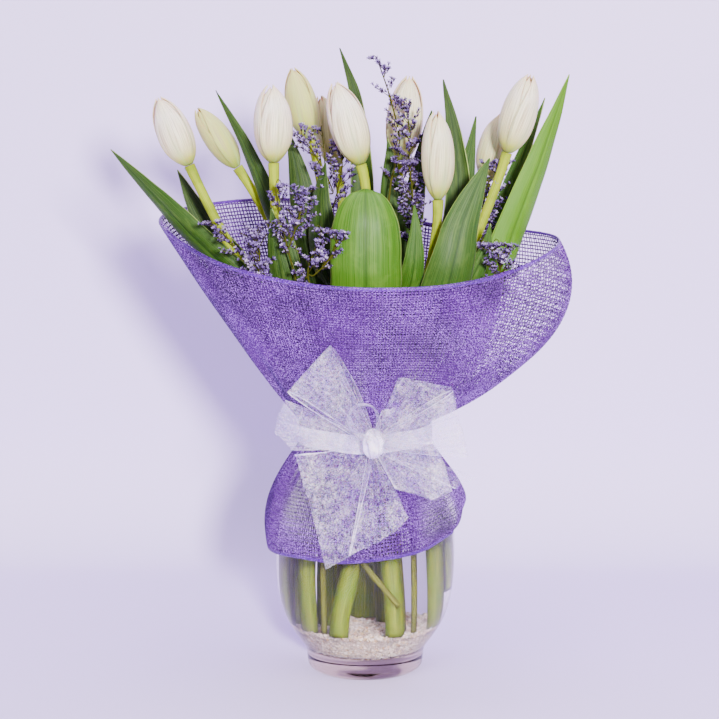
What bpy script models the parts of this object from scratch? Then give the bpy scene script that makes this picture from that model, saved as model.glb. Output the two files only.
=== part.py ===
"""Ten white tulips and eight sprays of sea lavender in a footed glass vase.

The bunch stands in water on a bed of crushed stone. A purple net sheet is wrapped round the vase,
tied at its neck with an organza ribbon, and opens above the tie into a collar.

Units are metres, +Z is up, -Y is the front. The origin is the centre of the vase's underside.
Azimuths are in degrees from +X (the right), counter-clockwise seen from above, so the front is 270.
"""

import math

import bmesh
import bpy
from mathutils import Vector
from mathutils.geometry import interpolate_bezier

# ---- Driving dimensions -------------------------------------------------------------------------

GAP = 0.0003  # what every piece keeps to the piece that it rests on or passes through

TIE_LOW, TIE_HIGH = 0.1610, 0.1770  # the stretch of the vase's neck that the wrap is tied round
NECK_RADIUS = 0.0422

VASE_OUTLINE = (  # (height, outer radius) up the outside of the glass
    (0.000, 0.0385),
    (0.003, 0.0405),
    (0.014, 0.0420),
    (0.019, 0.0450),
    (0.026, 0.0500),
    (0.037, 0.0560),
    (0.051, 0.0602),
    (0.069, 0.0622),
    (0.091, 0.0625),
    (0.111, 0.0610),
    (0.131, 0.0555),
    (0.149, 0.0468),
    (TIE_LOW, NECK_RADIUS),
    (0.5 * (TIE_LOW + TIE_HIGH), NECK_RADIUS - 0.0008),
    (TIE_HIGH, NECK_RADIUS),
    (0.187, 0.0440),
    (0.197, 0.0470),
)
VASE_HEIGHT = VASE_OUTLINE[-1][0]
VASE_WALL = 0.0030
VASE_FLOOR = 0.0160  # thickness of the glass under the stone
VASE_SIDES = 40

STONE_TOP = 0.0350
WATER_TOP = 0.1110

NET_THICKNESS = 0.0010
NET_TIE_RADIUS = NECK_RADIUS + GAP + NET_THICKNESS / 2  # to the middle of the net's thickness
NET_ROUND, NET_SKIRT_ROWS, NET_COLLAR_ROWS = 36, 5, 8

# The net at each azimuth: its rim, the point that its collar bellies out towards, and its lower
# hem, each as (radius, height). The skirt bellies out towards SKIRT_BELLY all round.
SKIRT_BELLY = (0.0750, 0.1200)
NET_SPOKES = {
    0: ((0.131, 0.301), (0.168, 0.235), (0.0665, 0.116)),
    25: ((0.122, 0.302), (0.140, 0.235), (0.0660, 0.117)),
    55: ((0.101, 0.301), (0.090, 0.223), (0.0660, 0.113)),
    90: ((0.085, 0.313), (0.068, 0.217), (0.0665, 0.107)),
    125: ((0.098, 0.321), (0.072, 0.217), (0.0670, 0.101)),
    155: ((0.124, 0.320), (0.084, 0.225), (0.0670, 0.095)),
    180: ((0.139, 0.314), (0.092, 0.233), (0.0670, 0.091)),
    204: ((0.112, 0.295), (0.078, 0.227), (0.0690, 0.091)),
    232: ((0.088, 0.284), (0.064, 0.217), (0.0710, 0.093)),
    270: ((0.079, 0.280), (0.060, 0.212), (0.0725, 0.095)),
    305: ((0.094, 0.282), (0.072, 0.213), (0.0720, 0.101)),
    332: ((0.114, 0.290), (0.116, 0.217), (0.0690, 0.109)),
}

STEM_RADIUS, STEM_TOP_RADIUS = 0.0041, 0.0032
STEM_RESOLUTION, STEM_POINTS = 2, 11  # a resolution of 2 makes a tube of 8 sides
FOOT_STRAIGHT = 0.003

# Each tulip: where its cut end stands, the points its stem passes, the base of its flower, the
# flower's tip, and the flower's greatest radius.
TULIPS = {
    "a": dict(
        foot=(-0.045, -0.003, STONE_TOP),
        way=((-0.043, 0.000, 0.090), (-0.0300, 0.004, 0.170), (-0.074, -0.003, 0.261)),
        base=(-0.119, -0.006, 0.353),
        tip=(-0.139, -0.006, 0.398),
        radius=0.0111,
    ),
    "b": dict(
        foot=(-0.032, 0.017, STONE_TOP),
        way=((-0.031, 0.018, 0.090), (-0.0225, 0.016, 0.170), (-0.050, 0.021, 0.275)),
        base=(-0.088, 0.022, 0.349),
        tip=(-0.115, 0.022, 0.389),
        radius=0.0089,
    ),
    "c": dict(
        foot=(-0.035, -0.027, STONE_TOP),
        way=((-0.035, -0.025, 0.090), (-0.0190, -0.012, 0.170), (-0.053, -0.030, 0.270)),
        base=(-0.061, -0.032, 0.357),
        tip=(-0.062, -0.032, 0.408),
        radius=0.0120,
    ),
    "d": dict(
        foot=(-0.017, 0.012, STONE_TOP),
        way=((-0.017, 0.013, 0.090), (-0.0115, 0.009, 0.170), (-0.022, 0.018, 0.275)),
        base=(-0.037, 0.030, 0.367),
        tip=(-0.050, 0.030, 0.416),
        radius=0.0102,
    ),
    "e": dict(
        foot=(-0.017, -0.042, STONE_TOP),
        way=((-0.007, -0.031, 0.090), (-0.0020, -0.016, 0.170), (-0.003, -0.019, 0.270)),
        base=(-0.003, -0.022, 0.355),
        tip=(-0.020, -0.022, 0.409),
        radius=0.0120,
    ),
    "f": dict(
        foot=(0.011, 0.024, STONE_TOP),
        way=((0.010, 0.022, 0.090), (0.0080, 0.013, 0.170), (0.014, 0.018, 0.270)),
        base=(0.024, 0.022, 0.353),
        tip=(0.030, 0.022, 0.411),
        radius=0.0120,
    ),
    "g": dict(
        foot=(0.019, -0.041, STONE_TOP),
        way=((0.015, -0.033, 0.090), (0.0130, -0.016, 0.170), (0.038, -0.032, 0.263)),
        base=(0.048, -0.038, 0.333),
        tip=(0.047, -0.038, 0.391),
        radius=0.0102,
    ),
    "h": dict(
        foot=(0.042, -0.014, STONE_TOP),
        way=((0.040, -0.012, 0.090), (0.0290, 0.000, 0.170), (0.063, -0.002, 0.270)),
        base=(0.096, 0.000, 0.361),
        tip=(0.111, 0.000, 0.413),
        radius=0.0115,
    ),
    "i": dict(
        foot=(0.0500, -0.002, 0.057),
        way=((0.041, 0.006, 0.095), (0.0220, 0.018, 0.170), (0.054, 0.033, 0.267)),
        base=(0.084, 0.038, 0.337),
        tip=(0.094, 0.038, 0.384),
        radius=0.0099,
    ),
    "j": dict(
        foot=(-0.001, 0.038, STONE_TOP),
        way=((-0.001, 0.037, 0.090), (-0.0040, 0.026, 0.170), (-0.013, 0.038, 0.267)),
        base=(-0.020, 0.048, 0.347),
        tip=(-0.031, 0.048, 0.396),
        radius=0.0103,
    ),
}

LEAF_THICKNESS = 0.0012
LEAF_ROWS, LEAF_COLUMNS = 8, 4

# Each leaf: the tulip that it grows on and how high up its stem, the azimuth that it leaves
# towards, its middle line from there to its tip, its greatest width, and the azimuth that its
# outer face looks to where it is widest. A leaf tapers over the last half or so of its length; one
# whose tip is bent over and so looks blunt tapers later.
LEAVES = {
    "01": dict(
        tulip="a", height=0.220, leaves=250, width=0.024, face=225,
        way=(
            (-0.078, -0.018, 0.267), (-0.119, -0.014, 0.308),
            (-0.148, -0.004, 0.338), (-0.173, 0.004, 0.363),
        ),
    ),
    "02": dict(
        tulip="a", height=0.203, leaves=95, width=0.028, face=75,
        way=(
            (-0.068, 0.028, 0.253), (-0.099, 0.026, 0.293),
            (-0.119, 0.026, 0.325), (-0.130, 0.026, 0.347),
        ),
    ),
    "03": dict(
        tulip="b", height=0.205, leaves=230, width=0.015, face=240,
        way=(
            (-0.048, 0.002, 0.267), (-0.060, 0.001, 0.310),
            (-0.080, 0.001, 0.363), (-0.101, 0.001, 0.403),
        ),
    ),
    "04": dict(
        tulip="d", height=0.227, leaves=215, width=0.018, face=255,
        way=(
            (-0.030, 0.006, 0.255), (-0.040, 0.010, 0.305),
            (-0.046, 0.012, 0.345), (-0.053, 0.013, 0.376),
        ),
    ),
    "05": dict(
        tulip="j", height=0.210, leaves=75, width=0.016, face=85,
        way=(
            (-0.003, 0.056, 0.267), (-0.002, 0.062, 0.335),
            (-0.007, 0.063, 0.395), (-0.018, 0.063, 0.429),
        ),
    ),
    "06": dict(
        tulip="e", height=0.203, leaves=270, width=0.052, face=270, tapers=0.70,
        way=(
            (0.000, -0.048, 0.231), (0.000, -0.069, 0.280),
            (0.000, -0.070, 0.317), (0.000, -0.063, 0.343),
        ),
    ),
    "07": dict(
        tulip="f", height=0.210, leaves=300, width=0.023, face=265,
        way=(
            (0.017, 0.002, 0.260), (0.019, 0.003, 0.305),
            (0.018, 0.004, 0.340), (0.015, 0.005, 0.370),
        ),
    ),
    "08": dict(
        tulip="f", height=0.230, leaves=10, width=0.013, face=60,
        way=(
            (0.030, 0.014, 0.275), (0.034, 0.010, 0.317),
            (0.038, 0.008, 0.355), (0.045, 0.008, 0.389),
        ),
    ),
    "09": dict(
        tulip="g", height=0.220, leaves=75, width=0.016, face=85,
        way=(
            (0.046, -0.012, 0.270), (0.062, -0.013, 0.320),
            (0.060, -0.012, 0.370), (0.052, -0.012, 0.411),
        ),
    ),
    "10": dict(
        tulip="i", height=0.205, leaves=250, width=0.015, face=265,
        way=(
            (0.050, 0.016, 0.267), (0.066, 0.020, 0.317),
            (0.071, 0.022, 0.353), (0.076, 0.023, 0.384),
        ),
    ),
    "11": dict(
        tulip="g", height=0.205, leaves=315, width=0.036, face=280,
        way=(
            (0.045, -0.048, 0.245), (0.056, -0.060, 0.285),
            (0.066, -0.057, 0.327), (0.081, -0.053, 0.362),
        ),
    ),
    "12": dict(
        tulip="h", height=0.205, leaves=345, width=0.024, face=300,
        way=(
            (0.082, -0.011, 0.258), (0.101, -0.008, 0.310),
            (0.120, -0.004, 0.362), (0.137, -0.003, 0.414),
        ),
    ),
    "13": dict(
        tulip="i", height=0.225, leaves=20, width=0.014, face=55,
        way=(
            (0.068, 0.032, 0.250), (0.090, 0.034, 0.300),
            (0.110, 0.034, 0.357), (0.124, 0.034, 0.396),
        ),
    ),
    "14": dict(
        tulip="h", height=0.233, leaves=230, width=0.017, face=270,
        way=(
            (0.056, -0.026, 0.255), (0.071, -0.035, 0.280),
            (0.080, -0.036, 0.300), (0.083, -0.036, 0.317),
        ),
    ),
    "15": dict(
        tulip="c", height=0.200, leaves=250, width=0.020, face=250,
        way=(
            (-0.047, -0.037, 0.250), (-0.056, -0.044, 0.283),
            (-0.060, -0.045, 0.308), (-0.062, -0.047, 0.329),
        ),
    ),
    "16": dict(
        tulip="e", height=0.205, leaves=330, width=0.017, face=275,
        way=(
            (0.022, -0.038, 0.255), (0.031, -0.052, 0.285),
            (0.033, -0.053, 0.311), (0.032, -0.050, 0.331),
        ),
    ),
    "17": dict(
        tulip="e", height=0.229, leaves=160, width=0.020, face=235,
        way=(
            (-0.018, -0.014, 0.263), (-0.029, -0.012, 0.290),
            (-0.031, -0.011, 0.325), (-0.027, -0.009, 0.355),
        ),
    ),
}

SPRAY_STEM_RADIUS, SPRAY_RESOLUTION = 0.0012, 1

# Each spray of sea lavender: where its cut end stands, the points its stem passes, and its head of
# small flowers as points with the radius that it fills there.
SPRAYS = {
    "01": dict(
        foot=(0.018, -0.028, STONE_TOP),
        way=((0.014, -0.020, 0.090), (0.003, -0.001, 0.170)),
        head=(
            (0.017, -0.008, 0.340, 0.002), (0.023, -0.007, 0.367, 0.006),
            (0.017, -0.006, 0.397, 0.005), (0.008, -0.005, 0.424, 0.001),
        ),
    ),
    "02": dict(
        foot=(-0.033, -0.010, STONE_TOP),
        way=((-0.030, -0.010, 0.090), (-0.019, 0.000, 0.170)),
        head=(
            (-0.024, 0.002, 0.320, 0.003), (-0.027, 0.004, 0.340, 0.006),
            (-0.028, 0.006, 0.361, 0.005), (-0.030, 0.007, 0.379, 0.002),
        ),
    ),
    "03": dict(
        foot=(-0.026, -0.036, STONE_TOP),
        way=((-0.026, -0.033, 0.090), (-0.0215, -0.0215, 0.170), (-0.037, -0.048, 0.245)),
        head=(
            (-0.051, -0.056, 0.302, 0.002), (-0.054, -0.058, 0.317, 0.006),
            (-0.057, -0.059, 0.331, 0.006), (-0.059, -0.058, 0.343, 0.002),
        ),
    ),
    "04": dict(
        foot=(0.022, -0.048, 0.057),
        way=(
            (-0.003, -0.046, 0.090), (-0.022, -0.034, 0.130),
            (-0.0265, -0.0190, 0.170), (-0.040, -0.024, 0.212),
        ),
        head=(
            (-0.076, -0.038, 0.283, 0.004), (-0.082, -0.040, 0.295, 0.007),
            (-0.091, -0.040, 0.307, 0.006), (-0.101, -0.040, 0.317, 0.002),
        ),
    ),
    "05": dict(
        foot=(-0.016, -0.027, STONE_TOP),
        way=((-0.014, -0.024, 0.090), (-0.009, -0.025, 0.170)),
        head=(
            (-0.036, -0.058, 0.277, 0.004), (-0.038, -0.060, 0.288, 0.007),
            (-0.034, -0.059, 0.301, 0.006), (-0.029, -0.057, 0.314, 0.002),
        ),
    ),
    "06": dict(
        foot=(0.021, -0.016, STONE_TOP),
        way=((0.018, -0.012, 0.090), (0.012, -0.001, 0.170)),
        head=(
            (0.031, -0.022, 0.305, 0.003), (0.032, -0.023, 0.323, 0.007),
            (0.031, -0.022, 0.341, 0.006), (0.029, -0.021, 0.355, 0.001),
        ),
    ),
    "07": dict(
        foot=(0.030, -0.030, STONE_TOP),
        way=((0.029, -0.027, 0.090), (0.0255, -0.0145, 0.170), (0.041, -0.024, 0.215)),
        head=(
            (0.086, -0.050, 0.273, 0.004), (0.089, -0.050, 0.282, 0.008),
            (0.088, -0.049, 0.293, 0.007), (0.084, -0.046, 0.303, 0.002),
        ),
    ),
    "08": dict(
        foot=(0.042, 0.024, STONE_TOP),
        way=((0.043, 0.022, 0.090), (0.0375, 0.0185, 0.135), (0.031, 0.0095, 0.170)),
        head=(
            (0.080, 0.014, 0.297, 0.002), (0.083, 0.013, 0.315, 0.006),
            (0.087, 0.012, 0.335, 0.006), (0.091, 0.012, 0.353, 0.001),
        ),
    ),
}

# The ribbon: a band round the tie, a knot in front of it, and strips that leave the knot.
RIBBON_THICKNESS = 0.0010
BAND_THICKNESS, BAND_LOW, BAND_HIGH = 0.0015, 0.1625, 0.1755
KNOT_RADIUS, KNOT_X, KNOT_Z = 0.0085, 0.0050, 0.1710
STRIP_HALF_AT_KNOT = 0.0035
LOOP_STEPS, TAIL_STEPS, STRIP_COLUMNS = 14, 6, 4

# Each loop: the middle of its far fold, half the width there, the way that its width lies, and
# how far its front layer stands off its back layer.
LOOPS = {
    "upper_left": dict(
        far=(-0.038, -0.079, 0.226), half=0.022, across=(0.66, 0.0, 0.75), puff=0.0075
    ),
    "upper_right": dict(
        far=(0.062, -0.082, 0.192), half=0.022, across=(-0.25, 0.15, 0.95), puff=0.0080
    ),
    "left": dict(
        far=(-0.052, -0.066, 0.175), half=0.013, across=(0.30, 0.30, 0.90), puff=0.0040
    ),
    "lower_right": dict(
        far=(0.046, -0.079, 0.146), half=0.013, across=(0.45, 0.10, 0.88), puff=0.0060
    ),
}
# Each tail: the middle of its cut end, half the width there, the way that the cut runs, and a
# point that it hangs past on the way.
TAILS = {
    "left": dict(
        past=(-0.012, -0.076, 0.143), far=(0.001, -0.079, 0.110), half=0.030, across=(0.87, 0.0, 0.50)
    ),
    "right": dict(
        past=(0.026, -0.056, 0.155), far=(0.072, -0.056, 0.146), half=0.006, across=(0.25, 0.0, 0.97)
    ),
}

BLOOM_RINGS = (  # (share of the way up, share of the greatest radius) of a closed flower
    (0.00, 0.42),
    (0.16, 0.88),
    (0.42, 1.06),
    (0.70, 0.90),
    (0.90, 0.52),
    (1.00, 0.16),
)
BLOOM_TEPALS = 6  # three inner ones between three outer ones
INNER_TEPAL = 0.90  # how far out the inner ones stand, as a share of the outer ones


# ---- Helpers ------------------------------------------------------------------------------------


def clear_scene():
    for thing in list(bpy.data.objects):
        bpy.data.objects.remove(thing, do_unlink=True)


def make_collection(name):
    made = bpy.data.collections.new(name)
    bpy.context.scene.collection.children.link(made)
    return made


def make_material(name, colour, roughness, transmission=0.0, ior=1.45):
    made = bpy.data.materials.new(name)
    made.use_nodes = True
    shader = made.node_tree.nodes["Principled BSDF"]
    shader.inputs["Base Color"].default_value = (*colour, 1.0)
    shader.inputs["Roughness"].default_value = roughness
    shader.inputs["Transmission Weight"].default_value = transmission
    shader.inputs["IOR"].default_value = ior
    return made


def add_object(name, data, material, collection):
    made = bpy.data.objects.new(name, data)
    collection.objects.link(made)
    data.materials.append(material)
    return made


def add_mesh(name, points, faces, material, collection, smooth=True):
    mesh = bpy.data.meshes.new(name)
    mesh.from_pydata(points, [], faces)
    mesh.update()
    if smooth:
        mesh.shade_smooth()
    return add_object(name, mesh, material, collection)


def facing(azimuth):
    """The level direction at this azimuth."""
    return Vector((math.cos(math.radians(azimuth)), math.sin(math.radians(azimuth)), 0.0))


def along(points, values, where):
    """The value at `where` on the broken line through (point, value) pairs."""
    for low, high, start, end in zip(points, points[1:], values, values[1:]):
        if where <= high:
            return start + (end - start) * max(0.0, (where - low) / (high - low))
    return values[-1]


def bend(points, count, entering=None, leaving=None):
    """`count` points, evenly spaced, on a smooth curve through `points`."""
    points = [Vector(point) for point in points]
    last = len(points) - 1
    headings = []
    for i in range(len(points)):
        headings.append((points[min(i + 1, last)] - points[max(i - 1, 0)]).normalized())
    if entering:
        headings[0] = Vector(entering).normalized()
    if leaving:
        headings[-1] = Vector(leaving).normalized()
    fine = [points[0]]
    for i in range(last):
        reach = (points[i + 1] - points[i]).length / 3
        handle = points[i] + headings[i] * reach
        far_handle = points[i + 1] - headings[i + 1] * reach
        fine += interpolate_bezier(points[i], handle, far_handle, points[i + 1], 17)[1:]
    return evenly(fine, count)


def evenly(fine, count):
    travelled = [0.0]
    for a, b in zip(fine, fine[1:]):
        travelled.append(travelled[-1] + (b - a).length)
    wanted = [travelled[-1] * i / (count - 1) for i in range(count)]
    return [along(travelled, fine, distance) for distance in wanted]


def add_tube(name, points, radii, resolution, material, collection):
    curve = bpy.data.curves.new(name, "CURVE")
    curve.dimensions = "3D"
    curve.bevel_depth = 1.0
    curve.bevel_resolution = resolution
    curve.use_fill_caps = True
    spline = curve.splines.new("POLY")
    spline.points.add(len(points) - 1)
    for place, point, radius in zip(spline.points, points, radii):
        place.co = (*point, 1.0)
        place.radius = radius
    spline.use_smooth = True
    return add_object(name, curve, material, collection)


def add_turned(name, profile, sides, material, collection):
    """A solid of revolution. `profile` runs in the half-plane of +X, ending down its outer side."""
    mesh = bpy.data.meshes.new(name)
    points = [(radius, 0.0, height) for radius, height in profile]
    edges = [(i, i + 1) for i in range(len(points) - 1)]
    mesh.from_pydata(points, edges, [])
    made = add_object(name, mesh, material, collection)
    screw = made.modifiers.new("Screw", "SCREW")
    screw.steps = sides
    screw.render_steps = sides
    screw.use_merge_vertices = True
    screw.merge_threshold = 0.00001
    screw.use_smooth_shade = True
    return made


def add_grid(name, rows, wraps, material, collection, thickness):
    """An open surface through rows of points, thickened equally to both sides."""
    points = [point for row in rows for point in row]
    width = len(rows[0])
    faces = []
    for r in range(len(rows) - 1):
        for c in range(width if wraps else width - 1):
            d = (c + 1) % width
            faces.append((r * width + c, r * width + d, (r + 1) * width + d, (r + 1) * width + c))
    made = add_mesh(name, points, faces, material, collection)
    solid = made.modifiers.new("Thickness", "SOLIDIFY")
    solid.thickness = thickness
    solid.offset = 0.0
    solid.use_even_offset = True
    return made


# ---- The vase and what it holds -----------------------------------------------------------------


def inner_profile():
    """(radius, height) up the inside of the glass, which thickens towards the floor."""
    profile = [(0.0, VASE_FLOOR), (0.020, VASE_FLOOR), (0.031, VASE_FLOOR + 0.0006)]
    for height, radius in VASE_OUTLINE:
        if height > VASE_FLOOR + 0.002:
            thicker = 0.0035 * max(0.0, 1.0 - (height - VASE_FLOOR) / 0.035)
            profile.append((radius - VASE_WALL - thicker, height))
    return profile


def inner_radius(height):
    profile = inner_profile()[2:]
    return along([h for _, h in profile], [r for r, _ in profile], height)


def add_vase(material, collection):
    profile = inner_profile()
    lip = profile.pop()
    middle = (lip[0] + VASE_WALL / 2, VASE_HEIGHT)
    profile += [(lip[0], VASE_HEIGHT - 0.0010), (lip[0] + 0.0008, VASE_HEIGHT - 0.0002), middle]
    profile.append((lip[0] + VASE_WALL - 0.0008, VASE_HEIGHT - 0.0002))
    profile.append((VASE_OUTLINE[-1][1], VASE_HEIGHT - 0.0010))
    profile += [(radius, height) for height, radius in reversed(VASE_OUTLINE[:-1])]
    profile.append((0.0, 0.0))
    return add_turned("vase", profile, VASE_SIDES, material, collection)


def wall_points(low, high):
    """Points just inside the glass between two heights, going down."""
    heights = [height for _, height in inner_profile()[2:] if low < height < high]
    heights = [high, *sorted(heights, reverse=True), low]
    return [(inner_radius(height) - GAP, height) for height in heights]


def add_stones(material, collection):
    top = STONE_TOP - GAP
    floor = VASE_FLOOR + 0.0006 + GAP
    profile = [(0.0, top), (0.022, top), (0.046, top), *wall_points(floor + 0.0004, top - 0.0012)]
    profile += [(0.030, floor), (0.020, VASE_FLOOR + GAP), (0.0, VASE_FLOOR + GAP)]
    return add_turned("stones", profile, VASE_SIDES, material, collection)


def stem_points(tulip):
    way = [tulip["foot"], *tulip["way"], tulip["base"]]
    axis = Vector(tulip["tip"]) - Vector(tulip["base"])
    points = footed(bend(way, STEM_POINTS - 1, standing(tulip), axis), standing(tulip))
    points[-1] = points[-1] - axis.normalized() * GAP
    return points


def standing(plant):
    """A stem that stands on the stones leaves them upright; one held off them leaves freely."""
    return (0, 0, 1) if plant["foot"][2] == STONE_TOP else None


def footed(points, upright):
    """The stem's points with a short straight stretch at the cut end, so that it stands flat."""
    heading = Vector(upright) if upright else (points[1] - points[0]).normalized()
    return [points[0], points[0] + heading * FOOT_STRAIGHT, *points[1:]]


def stem_radii(extra=0.0):
    step = (STEM_TOP_RADIUS - STEM_RADIUS) / (STEM_POINTS - 1)
    return [STEM_RADIUS + step * i + extra for i in range(STEM_POINTS)]


SPRAY_POINTS = 9  # on the bare stem, below the head


def spray_tube(spray, extra=0.0):
    """Points and radii up a spray: its bare stem and then its head."""
    head = [Vector(place[:3]) for place in spray["head"]]
    stem = bend([spray["foot"], *spray["way"], *head[:2]], 24, standing(spray))
    stem = [point for point in stem if point.z < head[0].z - 0.004]
    stem = footed(evenly(stem, SPRAY_POINTS - 1), standing(spray))
    radii = [SPRAY_STEM_RADIUS + extra] * SPRAY_POINTS
    radii += [max(place[3], SPRAY_STEM_RADIUS) for place in spray["head"]]
    return stem + head, radii


def add_water(material, collection, cutters):
    """Water between the stones and its level, with a hole that clears each stem."""
    profile = [(0.0, WATER_TOP), *wall_points(STONE_TOP - 0.0012 + GAP, WATER_TOP)]
    profile += [(0.046, STONE_TOP), (0.022, STONE_TOP), (0.0, STONE_TOP)]
    water = add_turned("water", profile, VASE_SIDES, material, collection)
    tubes = [(stem_points(tulip), stem_radii(GAP), STEM_RESOLUTION) for tulip in TULIPS.values()]
    tubes += [(*spray_tube(spray, GAP), SPRAY_RESOLUTION) for spray in SPRAYS.values()]
    for number, (points, radii, resolution) in enumerate(tubes, 1):
        # only the stretch in the water, run on past its end so that the hole has no floor
        count = 1 + sum(point.z < WATER_TOP + 0.010 for point in points)
        run_on = points[0] - (points[1] - points[0]).normalized() * 0.002
        name = f"hole_{number:02d}"
        points = [run_on, *points[:count]]
        tube = add_tube(name, points, [radii[0], *radii[:count]], resolution, material, cutters)
        cut = water.modifiers.new(name, "BOOLEAN")
        cut.solver = "EXACT"
        cut.object = as_mesh(tube, cutters)
    return water


def as_mesh(source, collection):
    """The evaluated shape of `source` as a closed mesh object in its place."""
    graph = bpy.context.evaluated_depsgraph_get()
    mesh = bpy.data.meshes.new_from_object(source.evaluated_get(graph))
    name = source.name
    bpy.data.objects.remove(source, do_unlink=True)
    shape = bmesh.new()
    shape.from_mesh(mesh)
    bmesh.ops.remove_doubles(shape, verts=shape.verts, dist=0.000001)
    bmesh.ops.recalc_face_normals(shape, faces=shape.faces)
    shape.to_mesh(mesh)
    shape.free()
    made = bpy.data.objects.new(name, mesh)
    made.hide_render = True
    made.display_type = "WIRE"
    collection.objects.link(made)
    return made


# ---- Tulips -------------------------------------------------------------------------------------


def add_bloom(name, tulip, material, collection):
    base = Vector(tulip["base"])
    axis = Vector(tulip["tip"]) - base
    turn = axis.to_track_quat("Z", "X")
    points = []
    for up, out in BLOOM_RINGS:
        for i in range(BLOOM_TEPALS):
            angle = math.tau * i / BLOOM_TEPALS
            radius = tulip["radius"] * out * (INNER_TEPAL if i % 2 else 1.0)
            ring = Vector((math.cos(angle) * radius, math.sin(angle) * radius, axis.length * up))
            points.append(base + turn @ ring)
    faces = [tuple(reversed(range(BLOOM_TEPALS)))]
    for r in range(len(BLOOM_RINGS) - 1):
        for i in range(BLOOM_TEPALS):
            j = (i + 1) % BLOOM_TEPALS
            low, high = r * BLOOM_TEPALS, (r + 1) * BLOOM_TEPALS
            faces.append((low + i, low + j, high + j, high + i))
    top = (len(BLOOM_RINGS) - 1) * BLOOM_TEPALS
    faces.append(tuple(range(top, top + BLOOM_TEPALS)))
    made = add_mesh(name, points, faces, material, collection)
    soft = made.modifiers.new("Soft", "SUBSURF")
    soft.levels = 1
    soft.render_levels = 1
    return made


def stem_at(tulip, height):
    """The middle of a stem at this height, its radius there, and the way that it heads."""
    points, radii = stem_points(tulip), stem_radii()
    heights = [point.z for point in points]
    middle = along(heights, points, height)
    radius = along(heights, radii, height)
    upper = next(i for i, z in enumerate(heights) if z > height)
    return middle, radius, (points[upper] - points[upper - 1]).normalized()


def turned_part_way(start, end, share):
    """The azimuth that share of the way from start to end, the short way round."""
    return start + ((end - start + 180) % 360 - 180) * share


def leaf_sections(leaf, rows, columns):
    """Rows of points across a leaf from where it clasps its stem to its tip."""
    middle, radius, heading = stem_at(TULIPS[leaf["tulip"]], leaf["height"])
    clasp = radius + 2 * GAP + LEAF_THICKNESS / 2
    outward = facing(leaf["leaves"])
    outward = (outward - heading * outward.dot(heading)).normalized()
    start = middle + outward * clasp
    line = bend([start, *leaf["way"]], rows, heading)
    sections = []
    for r, point in enumerate(line):
        share = r / (rows - 1)
        ahead = (line[min(r + 1, rows - 1)] - line[max(r - 1, 0)]).normalized()
        if r == 0:
            ahead = heading
        azimuth = turned_part_way(leaf["leaves"], leaf["face"], min(1.0, share * 2.2))
        normal = facing(azimuth)
        normal = (normal - ahead * normal.dot(ahead)).normalized()
        side = ahead.cross(normal)
        opened = min(1.0, share * 4.0)
        tapering = max(0.0, share - leaf.get("tapers", 0.45)) / (1.0 - leaf.get("tapers", 0.45))
        widest = leaf["width"] / 2 * (1.0 - 0.93 * tapering**1.8)
        half = (1.0 - opened) * clasp * 1.15 + opened * widest
        curl = (1.0 - opened) * clasp + opened * max(leaf["width"] * 0.62, clasp)
        section = []
        for c in range(columns + 1):
            turn = half / curl * (2 * c / columns - 1)
            section.append(point + side * curl * math.sin(turn) - normal * curl * (1 - math.cos(turn)))
        sections.append(section)
    return sections


def add_leaf(name, leaf, material, collection):
    sections = leaf_sections(leaf, LEAF_ROWS, LEAF_COLUMNS)
    return add_grid(name, sections, False, material, collection, LEAF_THICKNESS)


def add_spray(name, spray, material, collection):
    points, radii = spray_tube(spray)
    return add_tube(name, points, radii, SPRAY_RESOLUTION, material, collection)


# ---- The net and its ribbon ---------------------------------------------------------------------


def spoke_at(azimuth):
    """Rim, belly and hem at any azimuth, as (radius, height), smoothly between the stated spokes."""
    stated = sorted(NET_SPOKES)
    azimuth %= 360
    after = next((i for i, a in enumerate(stated) if a > azimuth), 0)
    around = [stated[(after + k) % len(stated)] for k in (-2, -1, 0, 1)]
    spread = (around[2] - around[1]) % 360
    share = ((azimuth - around[1]) % 360) / spread
    weights = (
        (-share + 2 * share**2 - share**3) / 2,
        (2 - 5 * share**2 + 3 * share**3) / 2,
        (share + 4 * share**2 - 3 * share**3) / 2,
        (share**3 - share**2) / 2,
    )
    found = []
    for part in range(3):
        radius = sum(w * NET_SPOKES[a][part][0] for w, a in zip(weights, around))
        height = sum(w * NET_SPOKES[a][part][1] for w, a in zip(weights, around))
        found.append((radius, height))
    return found


def bow_out(start, belly, end, share):
    """A point on the curve that leaves start towards belly and comes in to end."""
    weights = ((1 - share) ** 2, 2 * share * (1 - share), share**2)
    radius = sum(w * p[0] for w, p in zip(weights, (start, belly, end)))
    height = sum(w * p[1] for w, p in zip(weights, (start, belly, end)))
    return radius, height


def net_rows(around, skirt_rows, collar_rows):
    """Rings of points from the hem up to the rim of the collar."""
    columns = []
    for i in range(around):
        azimuth = 360 * i / around
        rim, belly, hem = spoke_at(azimuth)
        column = []
        for r in range(skirt_rows):
            column.append(bow_out((NET_TIE_RADIUS, TIE_LOW), SKIRT_BELLY, hem, 1 - r / skirt_rows))
        for r in range(collar_rows + 1):
            column.append(bow_out((NET_TIE_RADIUS, TIE_HIGH), belly, rim, r / collar_rows))
        column.insert(skirt_rows, (NET_TIE_RADIUS, TIE_LOW))
        columns.append([facing(azimuth) * radius + Vector((0, 0, height)) for radius, height in column])
    return list(zip(*columns))


def add_net(material, collection):
    rows = net_rows(NET_ROUND, NET_SKIRT_ROWS, NET_COLLAR_ROWS)
    return add_grid("net_wrap", rows, True, material, collection, NET_THICKNESS)


def band_radius():
    """The inside of the ribbon's band, just clear of the net."""
    return NET_TIE_RADIUS + NET_THICKNESS / 2 + GAP


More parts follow.
